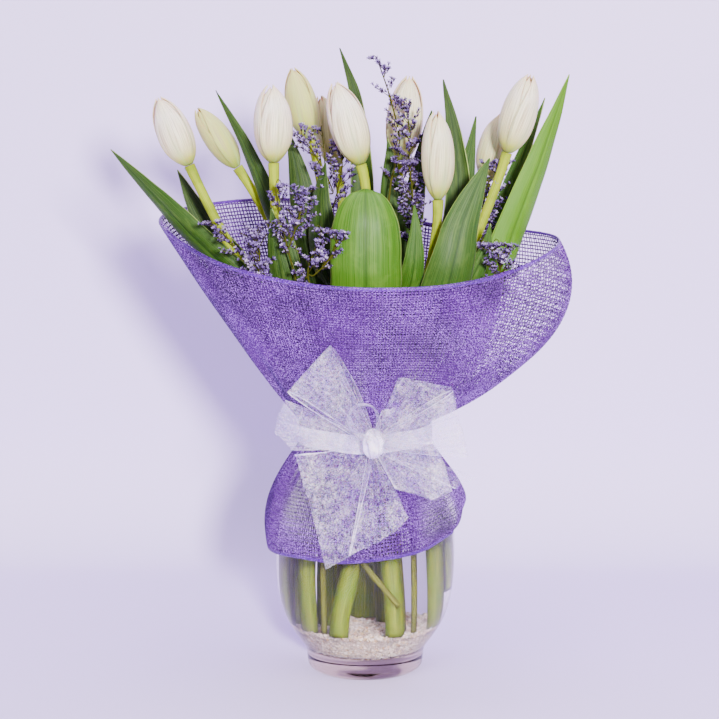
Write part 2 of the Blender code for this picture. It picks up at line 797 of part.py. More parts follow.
def add_band(material, collection):
    inner, outer = band_radius(), band_radius() + BAND_THICKNESS
    middle = (BAND_LOW + BAND_HIGH) / 2
    profile = [
        (inner, BAND_LOW), (inner, BAND_HIGH), (outer - 0.0004, BAND_HIGH),
        (outer, middle + 0.003), (outer, middle - 0.003), (outer - 0.0004, BAND_LOW), (inner, BAND_LOW),
    ]
    return add_turned("ribbon_band", profile, NET_ROUND, material, collection)


def knot_centre():
    stand_off = band_radius() + BAND_THICKNESS + GAP + KNOT_RADIUS
    return Vector((KNOT_X, -math.sqrt(stand_off**2 - KNOT_X**2), KNOT_Z))


def add_knot(material, collection):
    shape = bmesh.new()
    bmesh.ops.create_uvsphere(shape, u_segments=12, v_segments=8, radius=KNOT_RADIUS)
    bmesh.ops.translate(shape, verts=shape.verts, vec=knot_centre())
    mesh = bpy.data.meshes.new("ribbon_knot")
    shape.to_mesh(mesh)
    shape.free()
    mesh.shade_smooth()
    return add_object("ribbon_knot", mesh, material, collection)


def strip_start(far):
    away = (Vector(far) - knot_centre()).normalized()
    return knot_centre() + away * (KNOT_RADIUS + 2 * GAP), away


def loop_rows(loop, steps, columns):
    """Rows across a loop: out along its front layer, round the far fold, and back behind."""
    start, away = strip_start(loop["far"])
    length = (Vector(loop["far"]) - start).length
    across = Vector(loop["across"])
    across = (across - away * across.dot(away)).normalized()
    front = away.cross(across)
    if front.y > 0:
        front.negate()
    rows = []
    for s in range(steps + 1):
        turn = math.pi * s / steps
        out = math.sin(turn)
        half = STRIP_HALF_AT_KNOT + (loop["half"] - STRIP_HALF_AT_KNOT) * out**0.8
        stand = loop["puff"] * math.sin(2 * turn) + 0.0011 * math.cos(turn)
        point = start + away * (length * out) + front * stand
        rows.append([point + across * half * (2 * c / columns - 1) for c in range(columns + 1)])
    return rows


def tail_rows(tail, steps, columns):
    start, away = strip_start(tail["past"])
    line = bend([start, tail["past"], tail["far"]], steps + 1, away)
    across = Vector(tail["across"]).normalized()
    level = (across - away * across.dot(away)).normalized()
    rows = []
    for s, point in enumerate(line):
        share = s / steps
        half = STRIP_HALF_AT_KNOT + (tail["half"] - STRIP_HALF_AT_KNOT) * share**0.8
        side = (level * (1 - share) + across * share).normalized()
        rows.append([point + side * half * (2 * c / columns - 1) for c in range(columns + 1)])
    return rows


# ---- The whole ----------------------------------------------------------------------------------


def build():
    clear_scene()
    whole = make_collection("tulips_in_vase")
    cutters = make_collection("cutters")
    cutters.hide_render = True

    glass = make_material("clear_glass", (0.96, 0.98, 0.97), 0.03, 1.0, 1.50)
    water = make_material("water", (0.95, 0.98, 0.96), 0.02, 1.0, 1.33)
    stone = make_material("crushed_stone", (0.74, 0.68, 0.66), 0.80)
    green = make_material("tulip_stem", (0.42, 0.52, 0.14), 0.45)
    leaf_green = make_material("tulip_leaf", (0.20, 0.38, 0.14), 0.50)
    white = make_material("white_petal", (0.86, 0.82, 0.72), 0.50)
    lavender = make_material("sea_lavender", (0.40, 0.32, 0.62), 0.80)
    net = make_material("purple_net", (0.22, 0.13, 0.55), 0.55)
    organza = make_material("white_organza", (0.85, 0.85, 0.88), 0.40)

    add_vase(glass, whole)
    add_stones(stone, whole)
    add_water(water, whole, cutters)
    for letter, tulip in TULIPS.items():
        name = f"tulip_{letter}_stem"
        add_tube(name, stem_points(tulip), stem_radii(), STEM_RESOLUTION, green, whole)
        add_bloom(f"tulip_{letter}_bloom", tulip, white, whole)
    for number, leaf in LEAVES.items():
        add_leaf(f"leaf_{number}", leaf, leaf_green, whole)
    for number, spray in SPRAYS.items():
        add_spray(f"sea_lavender_{number}", spray, lavender, whole)
    add_net(net, whole)
    add_band(organza, whole)
    add_knot(organza, whole)
    for name, loop in LOOPS.items():
        rows = loop_rows(loop, LOOP_STEPS, STRIP_COLUMNS)
        add_grid(f"ribbon_loop_{name}", rows, False, organza, whole, RIBBON_THICKNESS)
    for name, tail in TAILS.items():
        rows = tail_rows(tail, TAIL_STEPS, STRIP_COLUMNS)
        add_grid(f"ribbon_tail_{name}", rows, False, organza, whole, RIBBON_THICKNESS)


build()
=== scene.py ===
"""The looks of a bunch of white tulips and sea lavender in a glass vase, wrapped in purple net.

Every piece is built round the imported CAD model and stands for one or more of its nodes. The vase's
outline and the paths of stems, leaves, sprays and net are the same as in the CAD model.
Lengths are in metres, apart from the rows that metres() converts, which are in millimetres.
Azimuths are in degrees from +X, counter-clockwise seen from above, so the front is 270.
"""

import math
import random

import bpy
import numpy as np
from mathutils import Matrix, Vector, noise
from mathutils.geometry import interpolate_bezier


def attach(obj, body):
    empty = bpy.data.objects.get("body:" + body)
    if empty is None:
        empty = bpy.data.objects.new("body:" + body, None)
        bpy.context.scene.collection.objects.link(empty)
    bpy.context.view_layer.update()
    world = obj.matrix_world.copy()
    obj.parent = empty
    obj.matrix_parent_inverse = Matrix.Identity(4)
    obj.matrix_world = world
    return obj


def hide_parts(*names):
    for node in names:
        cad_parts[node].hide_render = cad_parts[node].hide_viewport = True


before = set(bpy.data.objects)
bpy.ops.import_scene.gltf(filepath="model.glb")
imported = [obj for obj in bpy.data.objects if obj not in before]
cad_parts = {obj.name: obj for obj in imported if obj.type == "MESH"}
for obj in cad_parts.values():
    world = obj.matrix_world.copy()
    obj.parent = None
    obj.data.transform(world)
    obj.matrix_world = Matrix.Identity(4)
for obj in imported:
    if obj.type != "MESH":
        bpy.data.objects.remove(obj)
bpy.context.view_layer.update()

GAP = 0.0003  # what every piece keeps to the piece that it rests on or passes through

TIE_LOW, TIE_HIGH = 0.1610, 0.1770  # the stretch of the vase's neck that the wrap is tied round
NECK_RADIUS = 0.0422

VASE_OUTLINE = (  # (height, outer radius) up the outside of the glass
    (0.000, 0.0385), (0.003, 0.0405), (0.014, 0.0420), (0.019, 0.0450), (0.026, 0.0500), (0.037, 0.0560),
    (0.051, 0.0602), (0.069, 0.0622), (0.091, 0.0625), (0.111, 0.0610), (0.131, 0.0555), (0.149, 0.0468),
    (TIE_LOW, NECK_RADIUS), (0.5 * (TIE_LOW + TIE_HIGH), NECK_RADIUS - 0.0008), (TIE_HIGH, NECK_RADIUS),
    (0.187, 0.0440), (0.197, 0.0470),
)
VASE_HEIGHT = VASE_OUTLINE[-1][0]
VASE_WALL = 0.0030
VASE_FLOOR = 0.0160  # thickness of the glass under the stone

STONE_TOP = 0.0350
WATER_TOP = 0.1110

NET_THICKNESS = 0.0010
NET_TIE_RADIUS = NECK_RADIUS + GAP + NET_THICKNESS / 2  # to the middle of the net's thickness
SKIRT_BELLY = (0.0750, 0.1200)  # the skirt bellies out towards this (radius, height) all round

STEM_RADIUS, STEM_TOP_RADIUS, FOOT_STRAIGHT = 0.0041, 0.0032, 0.003
LEAF_THICKNESS = 0.0012
SPRAY_STEM_RADIUS = 0.0012
BAND_THICKNESS, BAND_LOW, BAND_HIGH = 0.0015, 0.1625, 0.1755
KNOT_RADIUS, KNOT_X, KNOT_Z = 0.0085, 0.0050, 0.1710

KEY, FILL, TOP, WORLD = 128.0, 4.0, 12.0, 0.50  # watts of each lamp, and the strength of the sky


def metres(value):
    """Millimetres, however nested, in metres."""
    return value / 1000 if isinstance(value, (int, float)) else tuple(metres(part) for part in value)


def plant(foot, way, **more):
    """A cut end that is given no height stands on the stones."""
    return dict(foot=(*metres(foot), STONE_TOP)[:3], way=metres(way), **more)


# The net at each azimuth: its rim, the point that its collar bellies out towards, and its lower
# hem, each as (radius, height).
NET_SPOKES = {
    0: ((131, 301), (168, 235), (66.5, 116)),
    25: ((122, 302), (140, 235), (66, 117)),
    55: ((101, 301), (90, 223), (66, 113)),
    90: ((85, 313), (68, 217), (66.5, 107)),
    125: ((98, 321), (72, 217), (67, 101)),
    155: ((124, 320), (84, 225), (67, 95)),
    180: ((139, 314), (92, 233), (67, 91)),
    204: ((112, 295), (78, 227), (69, 91)),
    232: ((88, 284), (64, 217), (71, 93)),
    270: ((79, 280), (60, 212), (72.5, 95)),
    305: ((94, 282), (72, 213), (72, 101)),
    332: ((114, 290), (116, 217), (69, 109)),
}
NET_SPOKES = {azimuth: metres(spoke) for azimuth, spoke in NET_SPOKES.items()}

# Each tulip: its flower's greatest radius, how far round that is turned in degrees and how green it
# is, then where the cut end stands, the points its stem passes, and the flower's base and tip.
TULIPS = {
    "a": (11.1, 20, 0.0, (-45, -3), (-43, 0, 90), (-30, 4, 170), (-74, -3, 261), (-119, -6, 353),
         (-139, -6, 398)),
    "b": (8.9, 75, 0.85, (-32, 17), (-31, 18, 90), (-22.5, 16, 170), (-50, 21, 275), (-88, 22, 349),
         (-115, 22, 389)),
    "c": (12, 52, 0.0, (-35, -27), (-35, -25, 90), (-19, -12, 170), (-53, -30, 270), (-61, -32, 357),
         (-62, -32, 408)),
    "d": (10.2, 10, 0.85, (-17, 12), (-17, 13, 90), (-11.5, 9, 170), (-22, 18, 275), (-37, 30, 367),
         (-50, 30, 416)),
    "e": (12, 35, 0.0, (-17, -42), (-7, -31, 90), (-2, -16, 170), (-3, -19, 270), (-3, -22, 355),
         (-20, -22, 409)),
    "f": (12, 85, 0.25, (11, 24), (10, 22, 90), (8, 13, 170), (14, 18, 270), (24, 22, 353), (30, 22, 411)),
    "g": (10.2, 60, 0.28, (19, -41), (15, -33, 90), (13, -16, 170), (38, -32, 263), (48, -38, 333),
         (47, -38, 391)),
    "h": (11.5, 15, 0.12, (42, -14), (40, -12, 90), (29, 0, 170), (63, -2, 270), (96, 0, 361),
         (111, 0, 413)),
    "i": (9.9, 40, 0.45, (50, -2, 57), (41, 6, 95), (22, 18, 170), (54, 33, 267), (84, 38, 337),
         (94, 38, 384)),
    "j": (10.3, 70, 0.4, (-1, 38), (-1, 37, 90), (-4, 26, 170), (-13, 38, 267), (-20, 48, 347),
         (-31, 48, 396)),
}
TULIPS = {
    letter: plant(foot, way, base=metres(base), tip=metres(tip), radius=radius / 1000, turn=turn, green=green)
    for letter, (radius, turn, green, foot, *way, base, tip) in TULIPS.items()
}

# Each leaf: the tulip that it grows on and how high up its stem, the azimuths that it leaves towards
# and that its outer face looks to where it is widest, its greatest width, how much wider than its
# solid it is drawn, its tone, and its middle line to its tip. The tone sets the leaf's green, partly
# its own and partly painted shade, for it is lowest for the leaves inside and behind. A leaf tapers
# over the last half or so of its length. The one whose tip is bent over, and so looks blunt, tapers
# from the share given last.
LEAVES = (
    ("a", 220, 250, 225, 24, 1.0, 0.22,
     ((-78, -18, 267), (-119, -14, 308), (-148, -4, 338), (-173, 4, 363))),
    ("a", 203, 95, 75, 28, 1.0, 0.06, ((-68, 28, 253), (-99, 26, 293), (-119, 26, 325), (-130, 26, 347))),
    ("b", 205, 230, 240, 15, 1.15, 0.16, ((-48, 2, 267), (-60, 1, 310), (-80, 1, 363), (-101, 1, 403))),
    ("d", 227, 215, 255, 18, 1.45, 0.08, ((-30, 6, 255), (-40, 10, 305), (-46, 12, 345), (-53, 13, 376))),
    ("j", 210, 75, 85, 16, 1.2, 0.1, ((-3, 56, 267), (-2, 62, 335), (-7, 63, 395), (-18, 63, 429))),
    ("e", 203, 270, 270, 52, 1.0, 0.8, ((0, -48, 231), (0, -69, 280), (0, -70, 317), (0, -63, 343)), 0.7),
    ("f", 210, 300, 265, 23, 1.25, 0.18, ((17, 2, 260), (19, 3, 305), (18, 4, 340), (15, 5, 370))),
    ("f", 230, 10, 60, 13, 1.5, 0.12, ((30, 14, 275), (34, 10, 317), (38, 8, 355), (45, 8, 389))),
    ("g", 220, 75, 85, 16, 1.3, 0.1, ((46, -12, 270), (62, -13, 320), (60, -12, 370), (52, -12, 411))),
    ("i", 205, 250, 265, 15, 1.3, 0.24, ((50, 16, 267), (66, 20, 317), (71, 22, 353), (76, 23, 384))),
    ("g", 205, 315, 280, 36, 1.0, 0.54, ((45, -48, 245), (56, -60, 285), (66, -57, 327), (81, -53, 362))),
    ("h", 205, 345, 300, 24, 1.15, 1.0, ((82, -11, 258), (101, -8, 310), (120, -4, 362), (137, -3, 414))),
    ("i", 225, 20, 55, 14, 1.3, 0.3, ((68, 32, 250), (90, 34, 300), (110, 34, 357), (124, 34, 396))),
    ("h", 233, 230, 270, 17, 1.0, 0.3, ((56, -26, 255), (71, -35, 280), (80, -36, 300), (83, -36, 317))),
    ("c", 200, 250, 250, 20, 1.25, 0.14,
     ((-47, -37, 250), (-56, -44, 283), (-60, -45, 308), (-62, -47, 329))),
    ("e", 205, 330, 275, 17, 1.2, 0.34, ((22, -38, 255), (31, -52, 285), (33, -53, 311), (32, -50, 331))),
    ("e", 229, 160, 235, 20, 1.5, 0.1, ((-18, -14, 263), (-29, -12, 290), (-31, -11, 325), (-27, -9, 355))),
)

# Each spray of sea lavender: where its cut end stands, the points its stem passes, its head of small
# flowers as points with the radius that it fills there, and further branches of it.
SPRAYS = (
    ((18, -28), ((14, -20, 90), (3, -1, 170)),
     ((17, -8, 340, 2), (23, -7, 367, 6), (17, -6, 397, 5), (8, -5, 424, 1)),
     (((26, -10, 345), (30, -10, 368), (27.5, -9, 392)),)),
    ((-33, -10), ((-30, -10, 90), (-19, 0, 170)),
     ((-24, 2, 320, 3), (-27, 4, 340, 6), (-28, 6, 361, 5), (-30, 7, 379, 2)),
     (((-22, -4, 335), (-34, -8, 360), (-43, -9, 374)), ((-22, -6, 325), (-16, -10, 350), (-16, -10, 366)))),
    ((-26, -36), ((-26, -33, 90), (-21.5, -21.5, 170), (-37, -48, 245)),
     ((-51, -56, 302, 2), (-54, -58, 317, 6), (-57, -59, 331, 6), (-59, -58, 343, 2)),
     (((-50, -60, 305), (-43, -62, 326), (-41, -62, 338)),)),
    ((22, -48, 57), ((-3, -46, 90), (-22, -34, 130), (-26.5, -19, 170), (-40, -24, 212)),
     ((-76, -38, 283, 4), (-82, -40, 295, 7), (-91, -40, 307, 6), (-101, -40, 317, 2)),
     (((-72, -46, 282), (-70, -50, 300), (-74, -50, 310)),)),
    ((-16, -27), ((-14, -24, 90), (-9, -25, 170)),
     ((-36, -58, 277, 4), (-38, -60, 288, 7), (-34, -59, 301, 6), (-29, -57, 314, 2)),
     (((-34, -62, 286), (-22, -66, 300), (-18, -66, 312)),)),
    ((21, -16), ((18, -12, 90), (12, -1, 170)),
     ((31, -22, 305, 3), (32, -23, 323, 7), (31, -22, 341, 6), (29, -21, 355, 1)), ()),
    ((30, -30), ((29, -27, 90), (25.5, -14.5, 170), (41, -24, 215)),
     ((86, -50, 273, 4), (89, -50, 282, 8), (88, -49, 293, 7), (84, -46, 303, 2)), ()),
    ((42, 24), ((43, 22, 90), (37.5, 18.5, 135), (31, 9.5, 170)),
     ((80, 14, 297, 2), (83, 13, 315, 6), (87, 12, 335, 6), (91, 12, 353, 1)), ()),
)

# Each strip of the bow: its name and node, its far edge, how far it puffs out or swells, how far a
# loop's back layer slips (a tail has none), its pleats, its length to the fold or end, and its width.
BOW = (
    ("bow_left", ["ribbon_loop_left"],
     ((-53, -70, 204), (-58.5, -72, 193), (-60, -72, 183), (-49, -69, 171)), 3, (3, 0, -2), 7, 62, 42),
    ("bow_upper_left", ["ribbon_loop_upper_left"],
     ((-51.5, -78, 211), (-37, -81, 228), (-23.5, -80, 242.5), (-17, -78, 231)), 6.5, (8, 0, -4), 7, 78, 42),
    ("bow_upper_right_back", ["ribbon_loop_upper_right"],
     ((18, -66, 202), (21.5, -70, 219.5), (38, -75, 217.5), (56.5, -80, 214), (60, -80, 195)), -3, None, 7,
     62, 42),
    ("bow_upper_right", ["ribbon_loop_upper_right"],
     ((57, -83, 213.5), (60.5, -84, 198), (64.5, -84, 183), (67.5, -83, 169.5)), 6.5, (-1, 0, 1), 7, 66, 42),
    ("bow_lower_right", ["ribbon_loop_lower_right"],
     ((44.5, -78, 178.5), (50.5, -80, 167), (57.5, -80, 145), (45, -79, 138.5), (20, -73, 144.5)), 5,
     (-2, 0, 2), 8, 55, 42),
    ("bow_tail_left", ["ribbon_tail_left"],
     ((-47, -72, 168), (-36, -76, 131), (-26.5, -79, 91), (-10, -79, 100.5)), 3, None, 8, 85, 42),
    ("bow_tail_middle", ["ribbon_tail_left"],
     ((-11, -80, 101), (5, -81, 108.5), (21, -81, 118.5), (28.5, -81, 127), (21, -78, 143)), 4.5, None, 7,
     62, 42),
    ("bow_tab", ["ribbon_knot"], ((11, -70, 197.5), (20, -73, 200.5), (30, -74, 197), (31, -73, 184)), 2,
     None, 5, 28, 20),
    ("bow_tail_right", ["ribbon_tail_right"], ((58, -60, 155), (74, -58, 149), (60, -60, 141.5)), 0, None, 5,
     66, 14),
)

# ---- Curves and meshes --------------------------------------------------------------------------


def facing(azimuth):
    """The level direction at this azimuth."""
    return Vector((math.cos(math.radians(azimuth)), math.sin(math.radians(azimuth)), 0.0))


def along(points, values, where):
    """The value at `where` on the broken line through (point, value) pairs."""
    for low, high, start, end in zip(points, points[1:], values, values[1:]):
        if where <= high:
            return start + (end - start) * max(0.0, (where - low) / (high - low))
    return values[-1]


def middle_of(points):
    return sum((Vector(point) for point in points), Vector()) / len(points)


def evenly(fine, count):
    travelled = [0.0]
    for a, b in zip(fine, fine[1:]):
        travelled.append(travelled[-1] + (b - a).length)
    wanted = [travelled[-1] * i / (count - 1) for i in range(count)]
    return [along(travelled, fine, distance) for distance in wanted]


def heading_at(points, i):
    """The way that a path runs at its point i."""
    return (points[min(i + 1, len(points) - 1)] - points[max(i - 1, 0)]).normalized()


def bend(points, count, entering=None, leaving=None):
    """`count` points, evenly spaced, on a smooth curve through `points`."""
    points = [Vector(point) for point in points]
    last = len(points) - 1
    headings = [heading_at(points, i) for i in range(last + 1)]
    if entering:
        headings[0] = Vector(entering).normalized()
    if leaving:
        headings[-1] = Vector(leaving).normalized()
    fine = [points[0]]
    for i in range(last):
        reach = (points[i + 1] - points[i]).length / 3
        handle = points[i] + headings[i] * reach
        far_handle = points[i + 1] - headings[i + 1] * reach
        fine += interpolate_bezier(points[i], handle, far_handle, points[i + 1], 17)[1:]
    return evenly(fine, count)


def run_along(points):
    """How far along a path each of its points is."""
    return np.concatenate([[0], np.cumsum(np.linalg.norm(np.diff(points, axis=0), axis=1))])


def unit(vectors):
    return vectors / np.linalg.norm(vectors, axis=-1, keepdims=True)


def smooth_step(low, high, value):
    """0 up to low, 1 from high, and eased in between."""
    share = np.clip((np.asarray(value, float) - low) / (high - low), 0.0, 1.0)
    return share * share * (3 - 2 * share)


def wobble(x, y, z, scale, seed=0.0):
    """Smooth noise from -1 to 1 that changes over about `scale` metres."""
    return noise.noise(Vector((x / scale + seed * 17.3, y / scale - seed * 9.1, z / scale + seed)))


def place(name, data):
    made = bpy.data.objects.new(name, data)
    bpy.context.scene.collection.objects.link(made)
    return made


class Shell:
    """Points, faces, texture coordinates and one tone per face, gathered into one mesh."""

    def __init__(self):
        self.points, self.faces, self.uvs, self.tones = [], [], [], []
        self.count = 0

    def grid(self, rows, wraps=False, tone=0.0):
        """A patch through rows of points; u runs along a row and v from row to row."""
        rows = np.asarray(rows, float)
        height, width = rows.shape[:2]
        r = np.arange(height - 1)[:, None]
        c = np.arange(width if wraps else width - 1)[None, :]
        d = (c + 1) % width
        corners = [r * width + c, r * width + d, (r + 1) * width + d, (r + 1) * width + c]
        quads = np.stack(corners, -1).reshape(-1, 4)
        across = width if wraps else width - 1
        left, low = c / across + 0 * r, r / (height - 1) + 0 * c
        right, high = (c + 1) / across + 0 * r, (r + 1) / (height - 1) + 0 * c
        corners = [(left, low), (right, low), (right, high), (left, high)]
        uv = np.stack([np.stack(corner, -1) for corner in corners], -2).reshape(-1, 4, 2)
        self.add(rows.reshape(-1, 3), quads, uv, tone)

    def add(self, points, quads, uv=None, tone=0.0):
        self.points.append(np.asarray(points, float))
        self.faces.append(np.asarray(quads) + self.count)
        self.uvs.append(np.zeros((len(quads), 4, 2)) if uv is None else uv)
        self.tones.append(np.full(len(quads), tone, float) if np.isscalar(tone) else np.asarray(tone))
        self.count += len(points)

    def piece(self, name, material, nodes, thickness=0.0, closed=False):
        """The finished mesh; one that is closed is turned so that its faces look outwards."""
        points, faces = np.concatenate(self.points), np.concatenate(self.faces)
        if closed:
            a, b, c, d = (points[faces[:, k]] for k in range(4))
            volume = (a * np.cross(b, c)).sum() + (a * np.cross(c, d)).sum()
            if volume < 0:
                faces = faces[:, ::-1]
        mesh = bpy.data.meshes.new(name)
        mesh.vertices.add(len(points))
        mesh.vertices.foreach_set("co", points.astype(np.float32).ravel())
        mesh.loops.add(faces.size)
        mesh.loops.foreach_set("vertex_index", faces.astype(np.int32).ravel())
        mesh.polygons.add(len(faces))
        mesh.polygons.foreach_set("loop_start", np.arange(0, faces.size, 4, dtype=np.int32))
        mesh.update(calc_edges=True)
        layer = mesh.uv_layers.new(name="UVMap")
        layer.data.foreach_set("uv", np.concatenate(self.uvs).astype(np.float32).ravel())
        tone = mesh.attributes.new("tone", "FLOAT", "FACE")
        tone.data.foreach_set("value", np.concatenate(self.tones).astype(np.float32))
        mesh.validate()
        mesh.shade_smooth()
        made = place(name, mesh)
        mesh.materials.append(material)
        if thickness:
            solid = made.modifiers.new("Thickness", "SOLIDIFY")
            solid.thickness, solid.offset = thickness, 0.0
        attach(made, "root")
        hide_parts(*nodes)
        return made


def tube_rows(points, radii, sides):
    """Rings of points round a path, turned as little as possible from ring to ring."""
    points = [Vector(point) for point in points]
    angles = [math.tau * k / sides for k in range(sides)]
    rows, side = [], None
    for i, point in enumerate(points):
        ahead = heading_at(points, i)
        side = ahead.orthogonal() if side is None else side - ahead * side.dot(ahead)
        side.normalize()
        up = ahead.cross(side)
        rows.append([point + (side * math.cos(a) + up * math.sin(a)) * radii[i] for a in angles])
    return rows


def capped(rows):
    """The rings with each end drawn in nearly to a point, so that the tube looks closed."""
    ends = []
    for ring in (rows[0], rows[-1]):
        middle = middle_of(ring)
        ends.append([middle + (Vector(point) - middle) * 0.02 for point in ring])
    return [ends[0], *rows, ends[1]]


def lathe_rows(profile, sides):
    """Rings for a turned shape whose profile is (radius, height) points."""
    angles = np.arange(sides) * math.tau / sides
    profile = np.asarray(profile, float)
    radius, height = profile[:, :1], profile[:, 1:]
    return np.stack([radius * np.cos(angles), radius * np.sin(angles), height + 0 * angles], -1)


def smooth_profile(profile, count):
    """More points on a smooth curve through (radius, height) points."""
    return [(point.x, point.z) for point in bend([(r, 0.0, z) for r, z in profile], count)]


# ---- Materials ----------------------------------------------------------------------------------


class Paint:
    """A short way to write a node material round one Principled shader."""

    def __init__(self, name, **values):
        self.material = bpy.data.materials.new(name)
        self.material.use_nodes = True
        self.nodes, self.links = self.material.node_tree.nodes, self.material.node_tree.links
        self.shader = self.nodes["Principled BSDF"]
        self.look(**values)

    def feed(self, socket, value):
        if hasattr(value, "is_output"):
            self.links.new(value, socket)
        elif isinstance(value, tuple) and len(value) == 3 and socket.type == "RGBA":
            socket.default_value = (*value, 1.0)
        else:
            socket.default_value = value

    def set(self, node, **values):
        for key, value in values.items():
            self.feed(node.inputs[key.replace("_", " ")], value)
        return node

    def look(self, **values):
        self.set(self.shader, **values)

    def node(self, kind, **values):
        return self.set(self.nodes.new("ShaderNode" + kind), **values)

    def uv(self):
        return self.nodes.new("ShaderNodeUVMap").outputs[0]

    def place(self):
        return self.nodes.new("ShaderNodeTexCoord").outputs["Object"]

    def tone(self):
        node = self.nodes.new("ShaderNodeAttribute")
        node.attribute_name = "tone"
        return node.outputs["Fac"]

    def stretched(self, vector, scale):
        return self.node("Mapping", Vector=vector, Scale=scale).outputs[0]

    def noise(self, vector, scale, detail=3.0, roughness=0.5, distortion=0.0):
        values = dict(Vector=vector, Scale=scale, Detail=detail, Roughness=roughness, Distortion=distortion)
        return self.node("TexNoise", **values).outputs["Fac"]

    def math(self, operation, a, b=0.0, c=None, clamp=False):
        node = self.nodes.new("ShaderNodeMath")
        node.operation = operation
        node.use_clamp = clamp
        for socket, value in zip(node.inputs, (a, b) if c is None else (a, b, c)):
            self.feed(socket, value)
        return node.outputs[0]

    def times(self, a, b):
        return self.math("MULTIPLY", a, b)

    def plus(self, a, b, clamp=False):
        return self.math("ADD", a, b, clamp=clamp)

    def split(self, vector):
        return self.node("SeparateXYZ", Vector=vector).outputs

    def off_middle(self):
        """How far from the middle of a surface's width a place is, up to 0.5 at its edges."""
        return self.math("ABSOLUTE", self.math("SUBTRACT", self.split(self.uv())["X"], 0.5))

    def grey(self, factor, *stops, smooth=False):
        """A value for each factor; stops are (place, value)."""
        node = self.node("ValToRGB", Fac=factor)
        if smooth:
            node.color_ramp.interpolation = "EASE"
        marks = node.color_ramp.elements
        while len(marks) < len(stops):
            marks.new(0.5)
        for mark, (place, colour) in zip(marks, stops):
            mark.position = place
            mark.color = (*srgb(*colour), 1.0) if isinstance(colour, tuple) else (colour, colour, colour, 1.0)
        return node.outputs["Color"]

    def ramp(self, factor, *stops):
        """A colour for each factor; stops are (place, colour), each colour as srgb() takes it."""
        return self.grey(factor, *stops)

    def mix(self, factor, a, b):
        """Colour a with b over it; a colour that is no socket is stated as srgb() takes it."""
        node = self.nodes.new("ShaderNodeMix")
        node.data_type = "RGBA"
        for place, value in ((0, factor), (6, a), (7, b)):  # its factor, and its two colours
            self.feed(node.inputs[place], srgb(*value) if isinstance(value, tuple) else value)
        return node.outputs[2]

    def over(self, colour, mask, top, *stops):
        """The colour with another over it, as strongly as the grey ramp of the mask says."""
        return self.mix(self.grey(mask, *stops), colour, top)

    def open_behind(self):
        """Shows the surface from its front only, so that a view from behind looks through it."""
        side = self.nodes.new("ShaderNodeNewGeometry").outputs["Backfacing"]
        mixed = self.node("MixShader", Fac=side)
        self.links.new(self.shader.outputs[0], mixed.inputs[1])
        self.links.new(self.nodes.new("ShaderNodeBsdfTransparent").outputs[0], mixed.inputs[2])
        self.links.new(mixed.outputs[0], self.nodes["Material Output"].inputs["Surface"])

    def bump(self, height, strength, distance):
        node = self.node("Bump", Height=height, Strength=strength, Distance=distance)
        self.links.new(node.outputs[0], self.shader.inputs["Normal"])


def srgb(red, green, blue):
    """A linear colour from one stated in the usual 0 to 255."""
    parts = (red, green, blue)
    return tuple(v / 255 / 12.92 if v < 10.3 else ((v / 255 + 0.055) / 1.055) ** 2.4 for v in parts)


# ---- The vase and what it holds -----------------------------------------------------------------


ON_AXIS = 0.00001  # the radius at which a turned shape is closed
TURNED_SIDES = 128


def inner_profile():
    """(radius, height) up the inside of the glass, which thickens towards the floor."""
    profile = [(0.0, VASE_FLOOR), (0.020, VASE_FLOOR), (0.031, VASE_FLOOR + 0.0006)]
    for height, radius in VASE_OUTLINE:
        if height > VASE_FLOOR + 0.002:
            thicker = 0.0035 * max(0.0, 1.0 - (height - VASE_FLOOR) / 0.035)
            profile.append((radius - VASE_WALL - thicker, height))
    return profile


def inner_radius(height):
    profile = inner_profile()[2:]
    return along([h for _, h in profile], [r for r, _ in profile], height)


def make_vase():
    inside = smooth_profile(inner_profile(), 90)
    outside = smooth_profile([(radius, height) for height, radius in VASE_OUTLINE[1:]], 90)
    lip_in, lip_out = inside[-1][0], outside[-1][0]
    middle, half = (lip_in + lip_out) / 2, (lip_out - lip_in) / 2
    lip = []
    for turn in (math.pi * k / 8 for k in range(1, 8)):
        lip.append((middle - math.cos(turn) * half, VASE_HEIGHT - 0.0012 + math.sin(turn) * 0.0011))
    inside[-1], outside[-1] = (lip_in, VASE_HEIGHT - 0.0014), (lip_out, VASE_HEIGHT - 0.0014)
    foot = metres(((39.7, 1.2), (38.2, 0.2), (35.0, 0.0), (33.0, 0.6), (25.0, 1.2)))
    profile = [(ON_AXIS, VASE_FLOOR), *inside[1:], *lip, *reversed(outside), *foot, (ON_AXIS, 0.0014)]
    glass = Paint("clear_glass", Base_Color=(0.985, 0.992, 0.988), Roughness=0.004, IOR=1.5)
    glass.look(Specular_Tint=(0.28, 0.28, 0.28), Transmission_Weight=1.0)
    depth = glass.nodes.new("ShaderNodeVolumeAbsorption")
    depth.inputs["Color"].default_value = (0.70, 0.63, 0.54, 1.0)
    depth.inputs["Density"].default_value = 40.0
    glass.links.new(depth.outputs[0], glass.nodes["Material Output"].inputs["Volume"])
    waves = glass.noise(glass.stretched(glass.place(), (1, 1, 0.35)), 26.0, 2.0, 0.4)
    glass.bump(waves, 0.35, 0.0012)
    shell = Shell()
    shell.grid(lathe_rows(profile, TURNED_SIDES), wraps=True)
    vase = shell.piece("glass_vase", glass.material, ["vase"], closed=True)
    vase.visible_shadow = False


